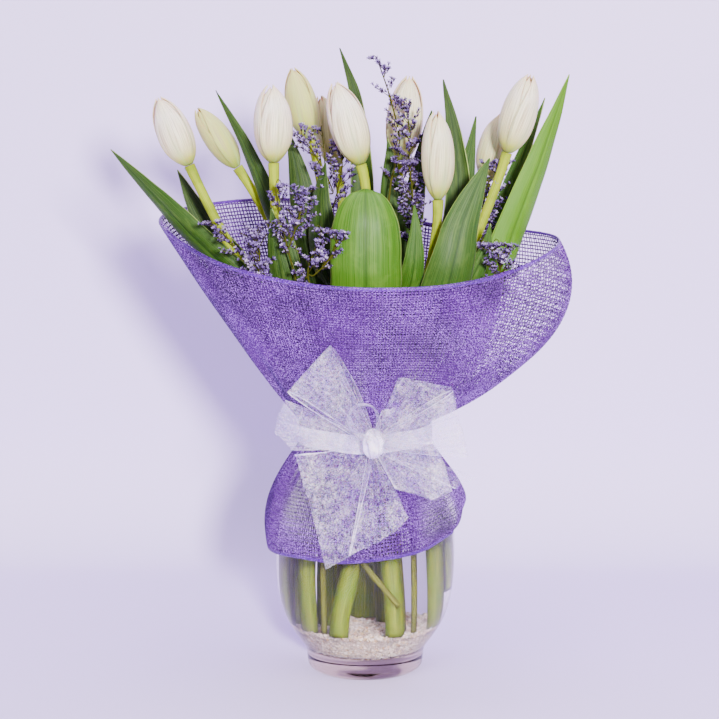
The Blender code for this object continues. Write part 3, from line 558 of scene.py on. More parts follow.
def make_water():
    overlap = 0.0002  # into the glass, so that no film of air shows between the two
    wall = smooth_profile(inner_profile()[1:], 120)
    wall = [(r + overlap, h) for r, h in wall if h < WATER_TOP - 0.0006]
    rim = inner_radius(WATER_TOP)
    climbs = ((overlap, 0.0008), (-0.0008, 0.0001), (-0.0025, -0.0004))  # the water's edge on the glass
    top = [(rim + out, WATER_TOP + up) for out, up in climbs]
    top += [(radius, WATER_TOP - 0.0005) for radius in (0.040, 0.020, ON_AXIS)]
    floor = [(ON_AXIS, VASE_FLOOR - overlap), (0.018, VASE_FLOOR - overlap)]
    water = Paint("water", Base_Color=(0.985, 0.995, 0.960), Roughness=0.004, IOR=1.33)
    water.look(Specular_Tint=(0.15, 0.15, 0.15), Transmission_Weight=1.0)
    water.bump(water.noise(water.place(), 60.0, 1.0, 0.4), 0.10, 0.0006)
    shell = Shell()
    shell.grid(lathe_rows([*floor, *wall, *top], TURNED_SIDES), wraps=True)
    made = shell.piece("still_water", water.material, ["water"], closed=True)
    made.visible_shadow = False


STONE_COUNT, STONE_SIZES = 9000, (0.0006, 0.00135)


def make_stones():
    rng = random.Random(11)
    shell = Shell()
    body = [(ON_AXIS, STONE_TOP - 0.0025), (0.024, STONE_TOP - 0.0025), (0.0480, STONE_TOP - 0.0028)]
    for radius, height in reversed(inner_profile()[2:]):
        if VASE_FLOOR + 0.001 < height < STONE_TOP - 0.003:
            body.append((radius - 0.0016, height))
    body += [(0.030, VASE_FLOOR + 0.0014), (ON_AXIS, VASE_FLOOR + 0.0012)]
    shell.grid(lathe_rows(body, 72), wraps=True, tone=0.35)
    corners = np.array([(x, y, z) for z in (-1, 1) for y in (-1, 1) for x in (-1, 1)], float)
    sides = np.array([(0, 2, 3, 1), (4, 5, 7, 6), (0, 1, 5, 4), (2, 6, 7, 3), (0, 4, 6, 2), (1, 3, 7, 5)])
    spin = np.random.default_rng(5)
    for number in range(STONE_COUNT):
        size = rng.uniform(*STONE_SIZES)
        turn = rng.uniform(0, math.tau)
        part = number % 9
        if part < 5:  # against the glass
            height = rng.uniform(VASE_FLOOR + 0.0014, STONE_TOP + 0.0006 * math.sin(5 * turn))
            radius = inner_radius(height) - size * 1.15 - rng.uniform(0.0, 0.0012)
        elif part < 8:  # on top, heaped a little
            radius = 0.0500 * math.sqrt(rng.random())
            heap = 0.0010 * wobble(radius * math.cos(turn), radius * math.sin(turn), 0.0, 0.018, 3)
            height = STONE_TOP - 0.0016 + heap + rng.uniform(-0.0006, 0.0009)
        else:  # on the floor
            radius = 0.034 * math.sqrt(rng.random())
            height = VASE_FLOOR + size + 0.0003
        place = facing(math.degrees(turn)) * radius + Vector((0, 0, height))
        matrix = np.linalg.qr(spin.normal(size=(3, 3)))[0]
        lump = (corners * 0.72 + spin.uniform(-0.42, 0.42, (8, 3))) * size * spin.uniform(0.7, 1.2, 3)
        shell.add(lump @ matrix.T + np.array(place), sides, tone=rng.random())
    stone = Paint("crushed_stone", Roughness=0.62, IOR=1.5)
    mottled = stone.noise(stone.place(), 900.0, 4.0, 0.6)
    pale = stone.ramp(
        stone.tone(),
        (0.0, (118, 98, 98)), (0.45, (152, 132, 134)), (0.75, (190, 170, 174)),
        (0.90, (166, 132, 104)), (0.97, (124, 88, 54)), (1.0, (72, 46, 30)),
    )
    colour = stone.over(pale, mottled, (160, 142, 138), (0.35, 0.0), (0.7, 0.35))
    stone.look(Base_Color=colour, Subsurface_Weight=0.15, Subsurface_Scale=0.002)
    stone.bump(mottled, 0.5, 0.0004)
    made = shell.piece("stone_layer", stone.material, ["stones"])
    for polygon in made.data.polygons:
        polygon.use_smooth = False


# ---- Tulips -------------------------------------------------------------------------------------


def standing(plant):
    """A stem that stands on the stones leaves them upright; one held off them leaves freely."""
    return (0, 0, 1) if plant["foot"][2] == STONE_TOP else None


def stem_points(tulip, count=11):
    """Points up the middle of a stem, which runs straight for a little from its cut end."""
    way = [tulip["foot"], *tulip["way"], tulip["base"]]
    axis = Vector(tulip["tip"]) - Vector(tulip["base"])
    points = bend(way, count - 1, standing(tulip), axis)
    heading = Vector(standing(tulip) or (points[1] - points[0]).normalized())
    return [points[0], points[0] + heading * FOOT_STRAIGHT, *points[1:]]


def stem_radius(share):
    return STEM_RADIUS + (STEM_TOP_RADIUS - STEM_RADIUS) * share


def stem_paint():
    paint = Paint("tulip_stem", Roughness=0.60, IOR=1.4, Specular_IOR_Level=0.15)
    uv, place = paint.uv(), paint.place()
    height = paint.split(place)["Z"]
    fibres = paint.noise(paint.stretched(uv, (26, 5, 1)), 1.6, 4.0, 0.6)
    blotches = paint.noise(place, 60.0, 3.0, 0.5)
    upper = paint.ramp(fibres, (0.25, (104, 130, 10)), (0.55, (150, 162, 32)), (0.8, (194, 198, 74)))
    lower = paint.ramp(fibres, (0.25, (30, 42, 0)), (0.55, (72, 80, 0)), (0.85, (122, 122, 0)))
    colour = paint.over(lower, height, upper, (0.12, 0.0), (0.30, 1.0))
    colour = paint.over(colour, blotches, (50, 76, 2), (0.5, 0.0), (0.75, 0.5))
    paint.look(Base_Color=colour, Subsurface_Weight=0.20, Subsurface_Scale=0.003)
    paint.bump(fibres, 0.25, 0.0004)
    return paint.material


def make_stems():
    paint = stem_paint()
    for number, (letter, tulip) in enumerate(TULIPS.items()):
        points = stem_points(tulip, 64)
        radii = []
        for i, point in enumerate(points):
            share = i / (len(points) - 1)
            swell = 1 + 0.16 * float(smooth_step(0.955, 1.0, share)) + 0.035 * wobble(number, 0, share, 0.06)
            stout = 1.55 - 0.55 * float(smooth_step(0.095, 0.140, point.z))  # drawn stouter in the water
            radii.append(stem_radius(share) * swell * stout)
        shell = Shell()
        shell.grid(capped(tube_rows(points, radii, 18)), wraps=True)
        shell.piece(f"stem_{letter}", paint, [f"tulip_{letter}_stem"])


def petal_paint(name, green):
    """The skin of a tepal: u runs across it and v from its base to its tip."""
    paint = Paint(name, Roughness=0.5, IOR=1.4, Specular_IOR_Level=0.3)
    up = paint.split(paint.uv())["Y"]
    ivory = paint.ramp(
        up,
        (0.0, (104, 128, 4)), (0.18, (182, 182, 66)), (0.44, (243, 218, 186)),
        (0.62, (255, 228, 218)), (1.0, (248, 214, 184)),
    )
    leafy = paint.ramp(up, (0.0, (124, 148, 16)), (0.45, (174, 184, 70)), (1.0, (202, 196, 116)))
    colour = paint.mix(green, ivory, leafy)
    streaks = paint.noise(paint.stretched(paint.uv(), (34, 2.2, 1)), 1.5, 4.0, 0.62)
    off_middle = paint.off_middle()
    rib = paint.grey(off_middle, (0.0, 1.0), (0.13, 0.0), smooth=True)
    rib = paint.times(rib, paint.grey(up, (0.0, 0.75), (0.95, 0.12)))
    colour = paint.over(colour, streaks, (170, 142, 112), (0.46, 0.0), (0.66, 0.90))
    # painted shade: darker towards each tepal's edges, standing in for the shade where the tepals overlap
    colour = paint.over(colour, off_middle, (164, 140, 90), (0.440, 0.0), (0.492, 0.50))
    colour = paint.mix(paint.times(rib, 0.30 + 0.35 * green), colour, (190, 200, 128))
    paint.look(Base_Color=colour, Subsurface_Weight=0.35, Subsurface_Scale=0.004)
    paint.bump(paint.plus(streaks, paint.times(rib, -0.6)), 0.32, 0.0005)
    return paint.material


TEPAL_OUT = (  # (share of the way up, how far out as a share of the flower's radius)
    (0.0, 0.24), (0.05, 0.46), (0.12, 0.68), (0.24, 0.89), (0.40, 1.00),
    (0.56, 0.985), (0.70, 0.88), (0.82, 0.70), (0.92, 0.44), (1.0, 0.12),
)
# (share of the way up, degrees round the flower from a tepal's middle to its edge)
TEPAL_SPAN = ((0.0, 64.0), (0.25, 66.0), (0.55, 62.0), (0.75, 56.0), (0.88, 50.0), (0.95, 40.0), (1.0, 10.0))


def tepal_rows(bloom, angle, inner, lean, seed):
    """One of the six that close round each other; u runs across it and up from its base."""
    base, turn, length, radius = bloom
    outs = bend([(v, 0, out) for v, out in TEPAL_OUT], 33)
    rows = []
    for place in outs:
        up, out = place.x, place.z
        half = math.radians(along([v for v, _ in TEPAL_SPAN], [s for _, s in TEPAL_SPAN], up))
        twist = math.radians(16) * (up - 0.3)
        row = []
        for c in range(17):
            u = 2 * c / 16 - 1
            a = angle + u * half + twist
            edge = abs(u) ** 3 * (0.050 if inner else 0.085) * float(smooth_step(0.05, 0.35, up)) * (1.2 - up)
            rib = -0.022 * math.exp(-((u / 0.16) ** 2)) * (1 - up)
            soft = 0.02 * wobble(u * 2, up * 3, seed, 1.0, seed)
            reach = radius * (out * (0.925 if inner else 1.0) + edge + rib + soft * out)
            spot = Vector((math.cos(a) * reach, math.sin(a) * reach, 0))
            spot += Vector((math.cos(angle), math.sin(angle), 0)) * radius * lean * up**3
            drop = 0.030 * u * u * float(smooth_step(0.5, 1.0, up))
            spot.z = length * (up * (0.965 if inner else 1.0) - drop) + 0.0006
            row.append(base + turn @ spot)
        rows.append(row)
    return rows


def make_blooms():
    for number, (letter, tulip) in enumerate(TULIPS.items()):
        base, tip = Vector(tulip["base"]), Vector(tulip["tip"])
        axis = tip - base
        bloom = (base, axis.to_track_quat("Z", "X"), axis.length, tulip["radius"] * 1.02)
        start = math.radians(tulip["turn"])
        shell = Shell()
        for i in range(3):
            shell.grid(tepal_rows(bloom, start + math.tau * (i + 0.5) / 3, True, 0.03, number + 0.31 * i))
        for i, lean in enumerate((0.03, 0.03 + 0.05, 0.03)):
            shell.grid(tepal_rows(bloom, start + math.tau * i / 3, False, lean, number + 0.17 * i))
        paint = petal_paint(f"white_petal_{letter}", tulip["green"])
        shell.piece(f"bloom_{letter}", paint, [f"tulip_{letter}_bloom"], thickness=0.0005)


# ---- Leaves -------------------------------------------------------------------------------------


def stem_at(tulip, height):
    """The middle of a stem at this height, its radius there, and the way that it heads."""
    points = stem_points(tulip)
    heights = [point.z for point in points]
    middle = along(heights, points, height)
    radius = along(heights, [stem_radius(max(0, i - 1) / 10) for i in range(len(points))], height)
    upper = next(i for i, z in enumerate(heights) if z > height)
    return middle, radius, (points[upper] - points[upper - 1]).normalized()


def turned_part_way(start, end, share):
    """The azimuth that is this share of the way from start to end, the short way round."""
    return start + ((end - start + 180) % 360 - 180) * share


def leaf_rows(leaf, rows, columns, seed):
    middle, radius, heading = stem_at(TULIPS[leaf["tulip"]], leaf["height"])
    clasp = radius + 2 * GAP + LEAF_THICKNESS / 2
    outward = facing(leaf["leaves"])
    outward = (outward - heading * outward.dot(heading)).normalized()
    line = bend([middle + outward * clasp, *leaf["way"]], rows, heading)
    starts = leaf["tapers"][0] if leaf["tapers"] else 0.45
    sections = []
    for r, point in enumerate(line):
        share = r / (rows - 1)
        ahead = heading_at(line, r) if r else heading
        azimuth = turned_part_way(leaf["leaves"], leaf["face"], min(1.0, share * 2.2))
        normal = facing(azimuth)
        normal = (normal - ahead * normal.dot(ahead)).normalized()
        side = ahead.cross(normal)
        opened = min(1.0, share * 4.0)
        tapering = max(0.0, share - starts) / (1.0 - starts)
        if leaf["tapers"]:
            widest = leaf["width"] / 2 * math.sqrt(max(0.0006, 1.0 - tapering**2.6))
        else:
            widest = leaf["width"] / 2 * (1.0 - 0.985 * tapering**1.7)
        half = (1.0 - opened) * clasp * 1.15 + opened * widest
        curl = (1.0 - opened) * clasp + opened * max(leaf["width"] * 0.62, clasp)
        section = []
        for c in range(columns + 1):
            u = 2 * c / columns - 1
            turn = half / curl * u
            spot = point + side * curl * math.sin(turn) - normal * curl * (1 - math.cos(turn))
            crease = -0.0009 * math.exp(-((u / 0.14) ** 2)) * opened * (1 - tapering)
            ripple = 0.0011 * wobble(share * 5, u, seed, 1.0, seed) * opened * abs(u) ** 1.5
            sway = wobble(share * 9, seed, 0, 1.0)
            section.append(spot + normal * (crease + ripple) + side * 0.0006 * sway)
        sections.append(section)
    return sections


def leaf_paint():
    paint = Paint("tulip_leaf", IOR=1.45)
    uv, off_middle = paint.uv(), paint.off_middle()
    # each leaf's tone picks its green, from near black to light: partly its own green, partly painted shade
    # for the leaves inside and behind
    base = paint.ramp(
        paint.tone(),
        (0.0, (10, 32, 2)), (0.2, (20, 54, 2)), (0.4, (34, 76, 2)),
        (0.6, (28, 56, 14)), (0.8, (50, 92, 6)), (1.0, (68, 114, 0)),
    )
    veins = paint.noise(paint.stretched(uv, (60, 1.3, 1)), 1.3, 3.0, 0.6)
    sheen_patches = paint.noise(paint.stretched(uv, (2.4, 5.5, 1)), 2.2, 4.0, 0.6, 0.6)
    # light is a lighter green for the veins and for the painted sheen; dark is a darker green between the
    # veins and for the painted shade along the midrib
    light = paint.mix(0.30, base, (138, 166, 76))
    dark = paint.mix(0.55, base, (8, 30, 4))
    colour = paint.over(base, veins, light, (0.42, 0.0), (0.70, 0.75))
    colour = paint.over(colour, veins, dark, (0.30, 0.65), (0.46, 0.0))
    # painted highlights: lighter green in soft patches across the blade, standing in for its sheen
    colour = paint.over(colour, sheen_patches, light, (0.50, 0.0), (0.72, 0.50))
    # painted shade: darker along the midrib, where the blade is creased
    colour = paint.over(colour, off_middle, dark, (0.0, 0.80), (0.050, 0.0))
    colour = paint.over(colour, off_middle, (160, 184, 96), (0.475, 0.0), (0.498, 0.6))
    paint.look(Base_Color=colour, Subsurface_Weight=0.10, Subsurface_Scale=0.002)
    paint.look(Specular_IOR_Level=0.22, Roughness=paint.grey(sheen_patches, (0.3, 0.38), (0.8, 0.56)))
    paint.bump(paint.plus(veins, paint.times(sheen_patches, 0.4)), 0.42, 0.0006)
    return paint.material


def make_leaves():
    paint = leaf_paint()
    for number, (tulip, height, leaves, face, width, broader, tone, way, *tapers) in enumerate(LEAVES, 1):
        leaf = dict(tulip=tulip, height=height / 1000, leaves=leaves, face=face, tapers=tapers)
        leaf.update(width=width / 1000 * broader, way=metres(way))
        shell = Shell()
        shell.grid(leaf_rows(leaf, 56, 20, float(number)), tone=tone)
        shell.piece(f"blade_{number:02}", paint, [f"leaf_{number:02}"], thickness=0.0007)


# ---- Sea lavender -------------------------------------------------------------------------------


def add_floret(shell, place, aim, size, rng):
    """One papery flower: a narrow dark tube that opens into five pale lobes."""
    turn = aim.to_track_quat("Z", "X")

    def at(radius, angle, up):
        return place + turn @ Vector((math.cos(angle) * radius, math.sin(angle) * radius, up))

    rings = ((0.14, 0.0), (0.30, 0.55), (0.42, 1.0))  # (radius, height) up the tube, times its size
    tube = [[at(size * r, math.tau * k / 4, size * z) for k in range(4)] for r, z in rings]
    shell.grid(tube, wraps=True, tone=rng.uniform(0.0, 0.22))
    spin, tone = rng.uniform(0, math.tau), rng.uniform(0.45, 1.0)
    points, quads = [], []
    for k in range(5):
        angle = spin + math.tau * k / 5
        up = rng.uniform(1.15, 1.5)
        lobe = [at(0.10 * size, angle, 0.85 * size), at(0.62 * size, angle - 0.52, up * size)]
        lobe += [at(1.05 * size, angle, (up + 0.2) * size), at(0.62 * size, angle + 0.52, up * size)]
        quads.append([len(points) + i for i in range(4)])
        points += lobe
    shell.add(points, quads, tone=tone)


SPRAY_POINTS, TWIGS, FLORETS_PER_TWIG = 90, 44, 9


def make_sprays():
    paint = Paint("sea_lavender", Roughness=0.75, IOR=1.4)
    tone = paint.tone()
    speckle = paint.noise(paint.place(), 700.0, 3.0, 0.6)
    colour = paint.ramp(
        tone,
        (0.0, (26, 14, 30)), (0.22, (50, 30, 64)), (0.26, (60, 60, 2)), (0.33, (60, 60, 2)),
        (0.40, (82, 58, 118)), (0.65, (114, 88, 152)), (0.88, (150, 126, 184)), (1.0, (194, 174, 212)),
    )
    floret = paint.grey(tone, (0.34, 0.0), (0.40, 1.0))
    dusty = paint.times(paint.grey(speckle, (0.45, 0.0), (0.75, 0.35)), floret)
    paint.look(Base_Color=paint.mix(dusty, colour, (86, 68, 136)), Specular_IOR_Level=0.2)
    paint.bump(speckle, 0.4, 0.0003)
    for number, (foot, way, stated, sides) in enumerate(SPRAYS, 1):
        spray, stated = plant(foot, way), metres(stated)
        rng = random.Random(number * 7)
        shell = Shell()
        way = [spray["foot"], *spray["way"], *[Vector(place[:3]) for place in stated]]
        line = bend(way, SPRAY_POINTS, standing(spray))
        radii = []
        for i, point in enumerate(line):
            thick = 1.8 - 0.8 * float(smooth_step(0.10, 0.14, point.z))  # drawn stouter in the water
            radii.append(SPRAY_STEM_RADIUS * (0.95 - 0.62 * (i / (SPRAY_POINTS - 1)) ** 2) * thick)
        shell.grid(capped(tube_rows(line, radii, 8)), wraps=True, tone=0.30)
        low, high = stated[0][2] - 0.006, stated[-1][2]
        head = [point for point in line if point.z > low]
        for side in metres(sides):
            branch = bend([min(head, key=lambda p: (p - Vector(side[0])).length), *side], 40)
            shell.grid(capped(tube_rows(branch, [0.0005] * 40, 6)), wraps=True, tone=0.28)
            head += branch[6:]
        heights, widths = [place[2] for place in stated], [place[3] for place in stated]
        for k in range(TWIGS):
            i = int((k + rng.random()) / TWIGS * len(head))
            start = head[min(len(head) - 1, i)]
            room = along(heights, widths, start.z) + 0.0070
            ahead = heading_at(head, i)
            ahead = ahead if ahead.z > 0 else -ahead
            azimuth = rng.uniform(0, 360)
            away = (facing(azimuth) * 0.85 + ahead * rng.uniform(0.5, 1.2)).normalized()
            reach = room * rng.uniform(0.75, 1.35)
            end = start + away * reach
            end.z = min(end.z, high + 0.001)
            twig = bend([start, start + away * reach * 0.5 + ahead * 0.0008, end], 7)
            shell.grid(tube_rows(twig, [0.00030] * 7, 4), wraps=True, tone=0.26)
            for n in range(FLORETS_PER_TWIG):
                spot = twig[min(6, 2 + n // 2)] + Vector([rng.uniform(-1, 1) for _ in range(3)]) * 0.0013
                spot.z = min(spot.z, high)
                aim = (away + ahead * 0.8 + Vector([rng.uniform(-0.7, 0.7) for _ in range(3)])).normalized()
                add_floret(shell, spot, aim, rng.uniform(0.0012, 0.0019), rng)
        shell.piece(f"spray_{number:02}", paint.material, [f"sea_lavender_{number:02}"])


# ---- The net and its ribbon ---------------------------------------------------------------------


def spoke_at(azimuth):
    """Rim, belly and hem at any azimuth, as (radius, height), smoothly between the stated spokes."""
    stated = sorted(NET_SPOKES)
    azimuth %= 360
    after = next((i for i, a in enumerate(stated) if a > azimuth), 0)
    around = [stated[(after + k) % len(stated)] for k in (-2, -1, 0, 1)]
    spread = (around[2] - around[1]) % 360
    share = ((azimuth - around[1]) % 360) / spread
    weights = (
        (-share + 2 * share**2 - share**3) / 2,
        (2 - 5 * share**2 + 3 * share**3) / 2,
        (share + 4 * share**2 - 3 * share**3) / 2,
        (share**3 - share**2) / 2,
    )
    return [
        tuple(sum(w * NET_SPOKES[a][part][axis] for w, a in zip(weights, around)) for axis in (0, 1))
        for part in range(3)
    ]


def bow_out(start, belly, end, count):
    """Evenly spaced points on the curve that leaves start towards belly and comes in to end."""
    share = np.linspace(0, 1, 90)[:, None]
    start, belly, end = (np.array(point) for point in (start, belly, end))
    fine = (1 - share) ** 2 * start + 2 * share * (1 - share) * belly + share**2 * end
    run = run_along(fine)
    wanted = np.linspace(0, run[-1], count)
    return np.stack([np.interp(wanted, run, fine[:, k]) for k in (0, 1)], -1)


NET_START, NET_END = 186.0, 684.0  # the sheet runs more than once round, and its ends overlap in front
WARPS, SKIRT_WEFTS, TIE_WEFTS, COLLAR_WEFTS = 404, 31, 6, 62
THREAD = 0.00098  # width of one thread
WEAVE_LIFT = 0.00016  # how far a thread passes over or under the net's own surface
NET_LAP = 0.0016  # how far the outer end stands off the inner one


def net_surface():
    """Points of the net's sheet: rows from hem to rim, columns along it, and the outward normals."""
    fine = np.linspace(NET_START, NET_END, 500)
    rims = np.array([tuple(facing(a) * spoke_at(a)[0][0]) for a in fine])
    run = run_along(rims)
    azimuths = np.interp(np.linspace(0, run[-1], WARPS), run, fine)
    columns = []
    for azimuth in azimuths:
        rim, belly, hem = spoke_at(azimuth)
        skirt = bow_out((NET_TIE_RADIUS, TIE_LOW), SKIRT_BELLY, hem, SKIRT_WEFTS)[::-1]
        heights = np.linspace(TIE_LOW, TIE_HIGH, TIE_WEFTS + 2)[1:-1]
        middle = np.stack([np.full(TIE_WEFTS, NET_TIE_RADIUS), heights], -1)
        collar = bow_out((NET_TIE_RADIUS, TIE_HIGH), belly, rim, COLLAR_WEFTS)
        columns.append(np.concatenate([skirt, middle, collar]))
    profile = np.stack(columns, 1)
    radius, height = profile[..., 0], profile[..., 1]
    rows = radius.shape[0]
    r = np.arange(rows)[:, None]
    turn = np.radians(azimuths)[None, :]
    lap = (azimuths - NET_START)[None, :] / (NET_END - NET_START)
    # how far up the collar, and how far down the skirt, each row is
    up = np.clip((r - SKIRT_WEFTS - TIE_WEFTS) / COLLAR_WEFTS, 0, 1)
    down = np.clip((SKIRT_WEFTS - r) / SKIRT_WEFTS, 0, 1)
    gather = np.exp(-((up / 0.16) ** 2)) * np.exp(-((down / 0.30) ** 2))
    spread = np.exp(-(((up - 0.22) / 0.22) ** 2)) * (up > 0)
    wide = smooth_step(0.2, 0.6, up) * (1 - 0.5 * smooth_step(0.8, 1.0, up))
    folds = 0.0007 * gather * np.sin(47 * turn + 1.3 * np.sin(3 * turn))
    folds = folds + 0.0016 * spread * np.sin(17 * turn + 2 * np.sin(2 * turn))
    folds = folds + 0.0011 * wide * np.sin(7 * turn + 1.0)
    folds = folds + 0.0011 * np.sin(9 * turn + 0.6 + 1.5 * np.sin(turn)) * smooth_step(0.10, 0.7, down)
    radius = radius + folds + NET_LAP * lap * (1 + 0.8 * up + 0.8 * down)
    points = np.stack([radius * np.cos(turn), radius * np.sin(turn), height + 0 * radius], -1)
    ahead, rise = unit(np.gradient(points, axis=1)), unit(np.gradient(points, axis=0))
    return points, ahead, rise, unit(np.cross(ahead, rise))


# deep and bright are the threads' own purples; pale is the colour of the painted glints
def net_paint(name, deep, bright, pale):
    paint = Paint(name, Roughness=0.34, IOR=1.5, Specular_IOR_Level=0.3)
    place = paint.place()
    fibre = paint.noise(paint.stretched(paint.uv(), (1, 900, 1)), 1.0, 3.0, 0.6)
    drift = paint.noise(place, 24.0, 3.0, 0.5)
    fine = paint.noise(place, 1500.0, 2.0, 0.6)
    colour = paint.over(deep, drift, bright, (0.35, 0.0), (0.68, 1.0))
    # painted highlights: pale flecks, gathered in broad patches, that stand in for glints of light on the
    # glossy threads
    broad = paint.grey(paint.noise(place, 34.0, 3.0, 0.5), (0.38, 0.45), (0.62, 1.0))
    painted_glints = paint.times(paint.grey(fine, (0.50, 0.0), (0.59, 0.95)), broad)
    colour = paint.mix(painted_glints, colour, pale)
    paint.look(Base_Color=colour, Sheen_Weight=0.05, Sheen_Roughness=0.4)
    paint.bump(paint.plus(fine, fibre), 0.45, 0.0002)
    return paint.material


def add_threads(shell, middles, sides, normals, across, along):
    """Each thread as a low ridge along its own row of points. across says where each thread runs and
    along how far each of its points is, for the texture coordinates."""
    threads, count = middles.shape[:2]
    half = THREAD / 2
    strips = np.stack([middles - sides * half, middles + normals * half, middles + sides * half], 2)
    i, j = np.meshgrid(np.arange(threads), np.arange(count - 1), indexing="ij")
    start, end = (i * count + j) * 3, (i * count + j + 1) * 3
    u, v, w = across[i], along[j], along[j + 1]
    corners = ((u, v), (u + 0.001, v), (u + 0.001, w), (u, w))
    uv = np.stack([np.stack(corner, -1) for corner in corners], -2).reshape(-1, 4, 2)
    for k in (0, 1):
        quads = np.stack([start + k, start + k + 1, end + k + 1, end + k], -1).reshape(-1, 4)
        shell.add(strips.reshape(-1, 3), quads, uv)


def make_net():
    points, ahead, rise, normal = net_surface()
    rows, columns = points.shape[:2]
    over = np.where((np.arange(rows)[:, None] + np.arange(columns)[None, :]) % 2, 1.0, -1.0)[..., None]
    rng = np.random.default_rng(3)
    shift = rng.normal(0, 0.00013, (rows, 1, 1)) + rng.normal(0, 0.00010, (rows, columns, 1))
    drift = rng.normal(0, 0.00013, (1, columns, 1)) + rng.normal(0, 0.00010, (rows, columns, 1))
    warps = points + normal * WEAVE_LIFT * over + ahead * drift
    wefts = points - normal * WEAVE_LIFT * over + rise * shift
    up, round_it = np.arange(rows) / rows, np.arange(columns) / columns
    paint = net_paint("purple_net", (20, 0, 42), (62, 0, 98), (168, 104, 228))
    middle = columns // 2
    # each half's own warps, and the columns that its wefts run through, from the warp they meet at
    halves = (
        ("net_sheet", slice(0, middle + 1), slice(0, middle + 1)),
        ("net_sheet_outer", slice(middle + 1, columns), slice(middle, columns)),
    )
    for name, own, crossed in halves:
        shell = Shell()
        upright = [part[:, own].transpose(1, 0, 2) for part in (warps, ahead, normal)]
        add_threads(shell, *upright, round_it[own], up)
        level = [part[:, crossed] for part in (wefts, -rise, normal)]
        add_threads(shell, *level, up, round_it[crossed])
        shell.piece(name, paint, ["net_wrap"])
    edge = net_paint("purple_net_edge", (50, 0, 100), (72, 2, 126), (128, 70, 196))
    # the selvedge in section, as (how far past the last thread, how far off the net's surface)
    section = ((-0.0016, 0.0003), (0.0002, 0.00045), (0.0006, 0.0), (0.0002, -0.00045), (-0.0014, -0.0003))
    for name, row, away in (("net_rim", rows - 1, 1), ("net_hem", 0, -1)):
        line, side, out = points[row], rise[row] * away, normal[row]
        band = Shell()
        band.grid(np.stack([line + side * past + out * off for past, off in section]))
        band.piece(name, edge, ["net_wrap"])


def organza_paint(name, cover):
    """Sheer white cloth: mostly air between fine threads, whiter where it is bunched."""
    paint = Paint(name, Roughness=0.38, IOR=1.45)
    uv, place = paint.uv(), paint.place()
    crackle = paint.noise(place, 520.0, 5.0, 0.75, 1.2)
    soft = paint.noise(place, 75.0, 3.0, 0.55, 0.6)
    radiating = paint.noise(paint.stretched(uv, (44, 1.6, 1)), 1.0, 3.0, 0.6)
    fine = paint.noise(place, 1500.0, 2.0, 0.5)
    white = paint.over((206, 184, 248), soft, (250, 240, 255), (0.35, 0.0), (0.7, 1.0))
    paint.look(Base_Color=white, Subsurface_Weight=0.2, Subsurface_Scale=0.001)
    paint.look(Sheen_Weight=0.1, Sheen_Roughness=0.3)
    veil = paint.math("MULTIPLY_ADD", crackle, 1.9, cover - 0.88)
    veil = paint.plus(veil, paint.math("MULTIPLY_ADD", soft, 0.5, -0.25))
    veil = paint.plus(veil, paint.grey(radiating, (0.56, 0.0), (0.74, 0.16)))
    veil = paint.plus(veil, paint.grey(paint.off_middle(), (0.480, 0.0), (0.490, 0.45)))
    veil = paint.plus(veil, paint.grey(fine, (0.40, 0.0), (0.8, 0.20)), clamp=True)
    paint.look(Alpha=veil)
    paint.bump(paint.plus(crackle, radiating), 0.5, 0.0008)
    return paint.material


def knot_centre():
    stand_off = NET_TIE_RADIUS + NET_THICKNESS / 2 + GAP + BAND_THICKNESS + GAP + KNOT_RADIUS
    return Vector((KNOT_X, -math.sqrt(stand_off**2 - KNOT_X**2), KNOT_Z))


def strip_rows(near, far, steps, columns, path, pleats, cut_width, seed):
    """Rows of ribbon from its gathered line at the knot. `path(share)` gives how far out a row is
    and how far it stands forward; the pleats run out from the knot and ease towards the far edge."""
    columns_far = evenly([Vector(point) for point in far], columns + 1)
    columns_near = [near[0].lerp(near[1], c / columns) for c in range(columns + 1)]
    rows = []
    for s in range(steps + 1):
        out, stand, shift = path(s / steps)
        middle = [a.lerp(b, out) for a, b in zip(columns_near, columns_far)]
        width = (middle[-1] - middle[0]).length
        spare = max(0.0, cut_width / max(width, 0.004) - 1.0)  # the width that the pleats take up
        depth = min(0.0017, width / pleats * (0.10 + 0.36 * math.sqrt(spare)))
        row = []
        for c, point in enumerate(middle):
            t = c / columns
            uneven = t + 0.10 * wobble(t * 3, seed, 0, 1.0, seed)
            uneven += 0.05 * wobble(t * 3, out * 1.5, 0, 1.0, seed + 2)
            high = 0.8 + 0.5 * wobble(t * 4, out * 2, 5, 1.0, seed)
            wave = high * math.sin(math.tau * pleats * uneven + seed)
            wave += 0.9 * wobble(t * 9, out * 2.5, seed, 1.0, seed)
            crumple = 0.0026 * wobble(t * 3.2, out * 3, seed + 4, 1.0, seed)
            crumple += 0.0011 * wobble(t * 9, out * 9, seed, 1.0, seed)
            crumple *= math.sin(math.pi * min(1.0, out * 1.02)) + 0.25 * out
            ruffle = 0.0010 * wobble(t * 8, seed, 2.0, 1.0, seed) * out
            moved = point + Vector((0, -stand - depth * wave - crumple, 0)) + shift
            row.append(moved + Vector((ruffle * 0.5, 0, ruffle)))
        rows.append(row)
    return rows


def gathered(towards, spread=0.0042):
    """The short line at the knot that a strip heading this way is gathered to."""
    centre = knot_centre()
    away = (Vector(towards) - centre).normalized()
    flat = Vector((away.x, 0, away.z)).normalized()
    across = Vector((-flat.z, 0, flat.x)) * spread
    start = centre + away * (KNOT_RADIUS * 0.55)
    return start + across, start - across


def facing_order(near, far):
    """The gathered line turned so that it runs the same way as the far edge."""
    same = (near[0] - near[1]).dot(Vector(far[0]) - Vector(far[-1])) > 0
    return near if same else (near[1], near[0])


def loop_path(puff, slip):
    """Out to the fold and back, the back layer slipping sideways from the front one."""

    def path(share):
        turn = math.pi * share
        back = max(0.0, -math.cos(turn))
        stand = puff * math.sin(2 * turn) + 0.0010 * math.cos(turn)
        return math.sin(turn), stand, Vector(slip) * back * math.sin(turn)

    return path


def tail_path(swell):
    return lambda share: (share, swell * math.sin(math.pi * share), Vector())


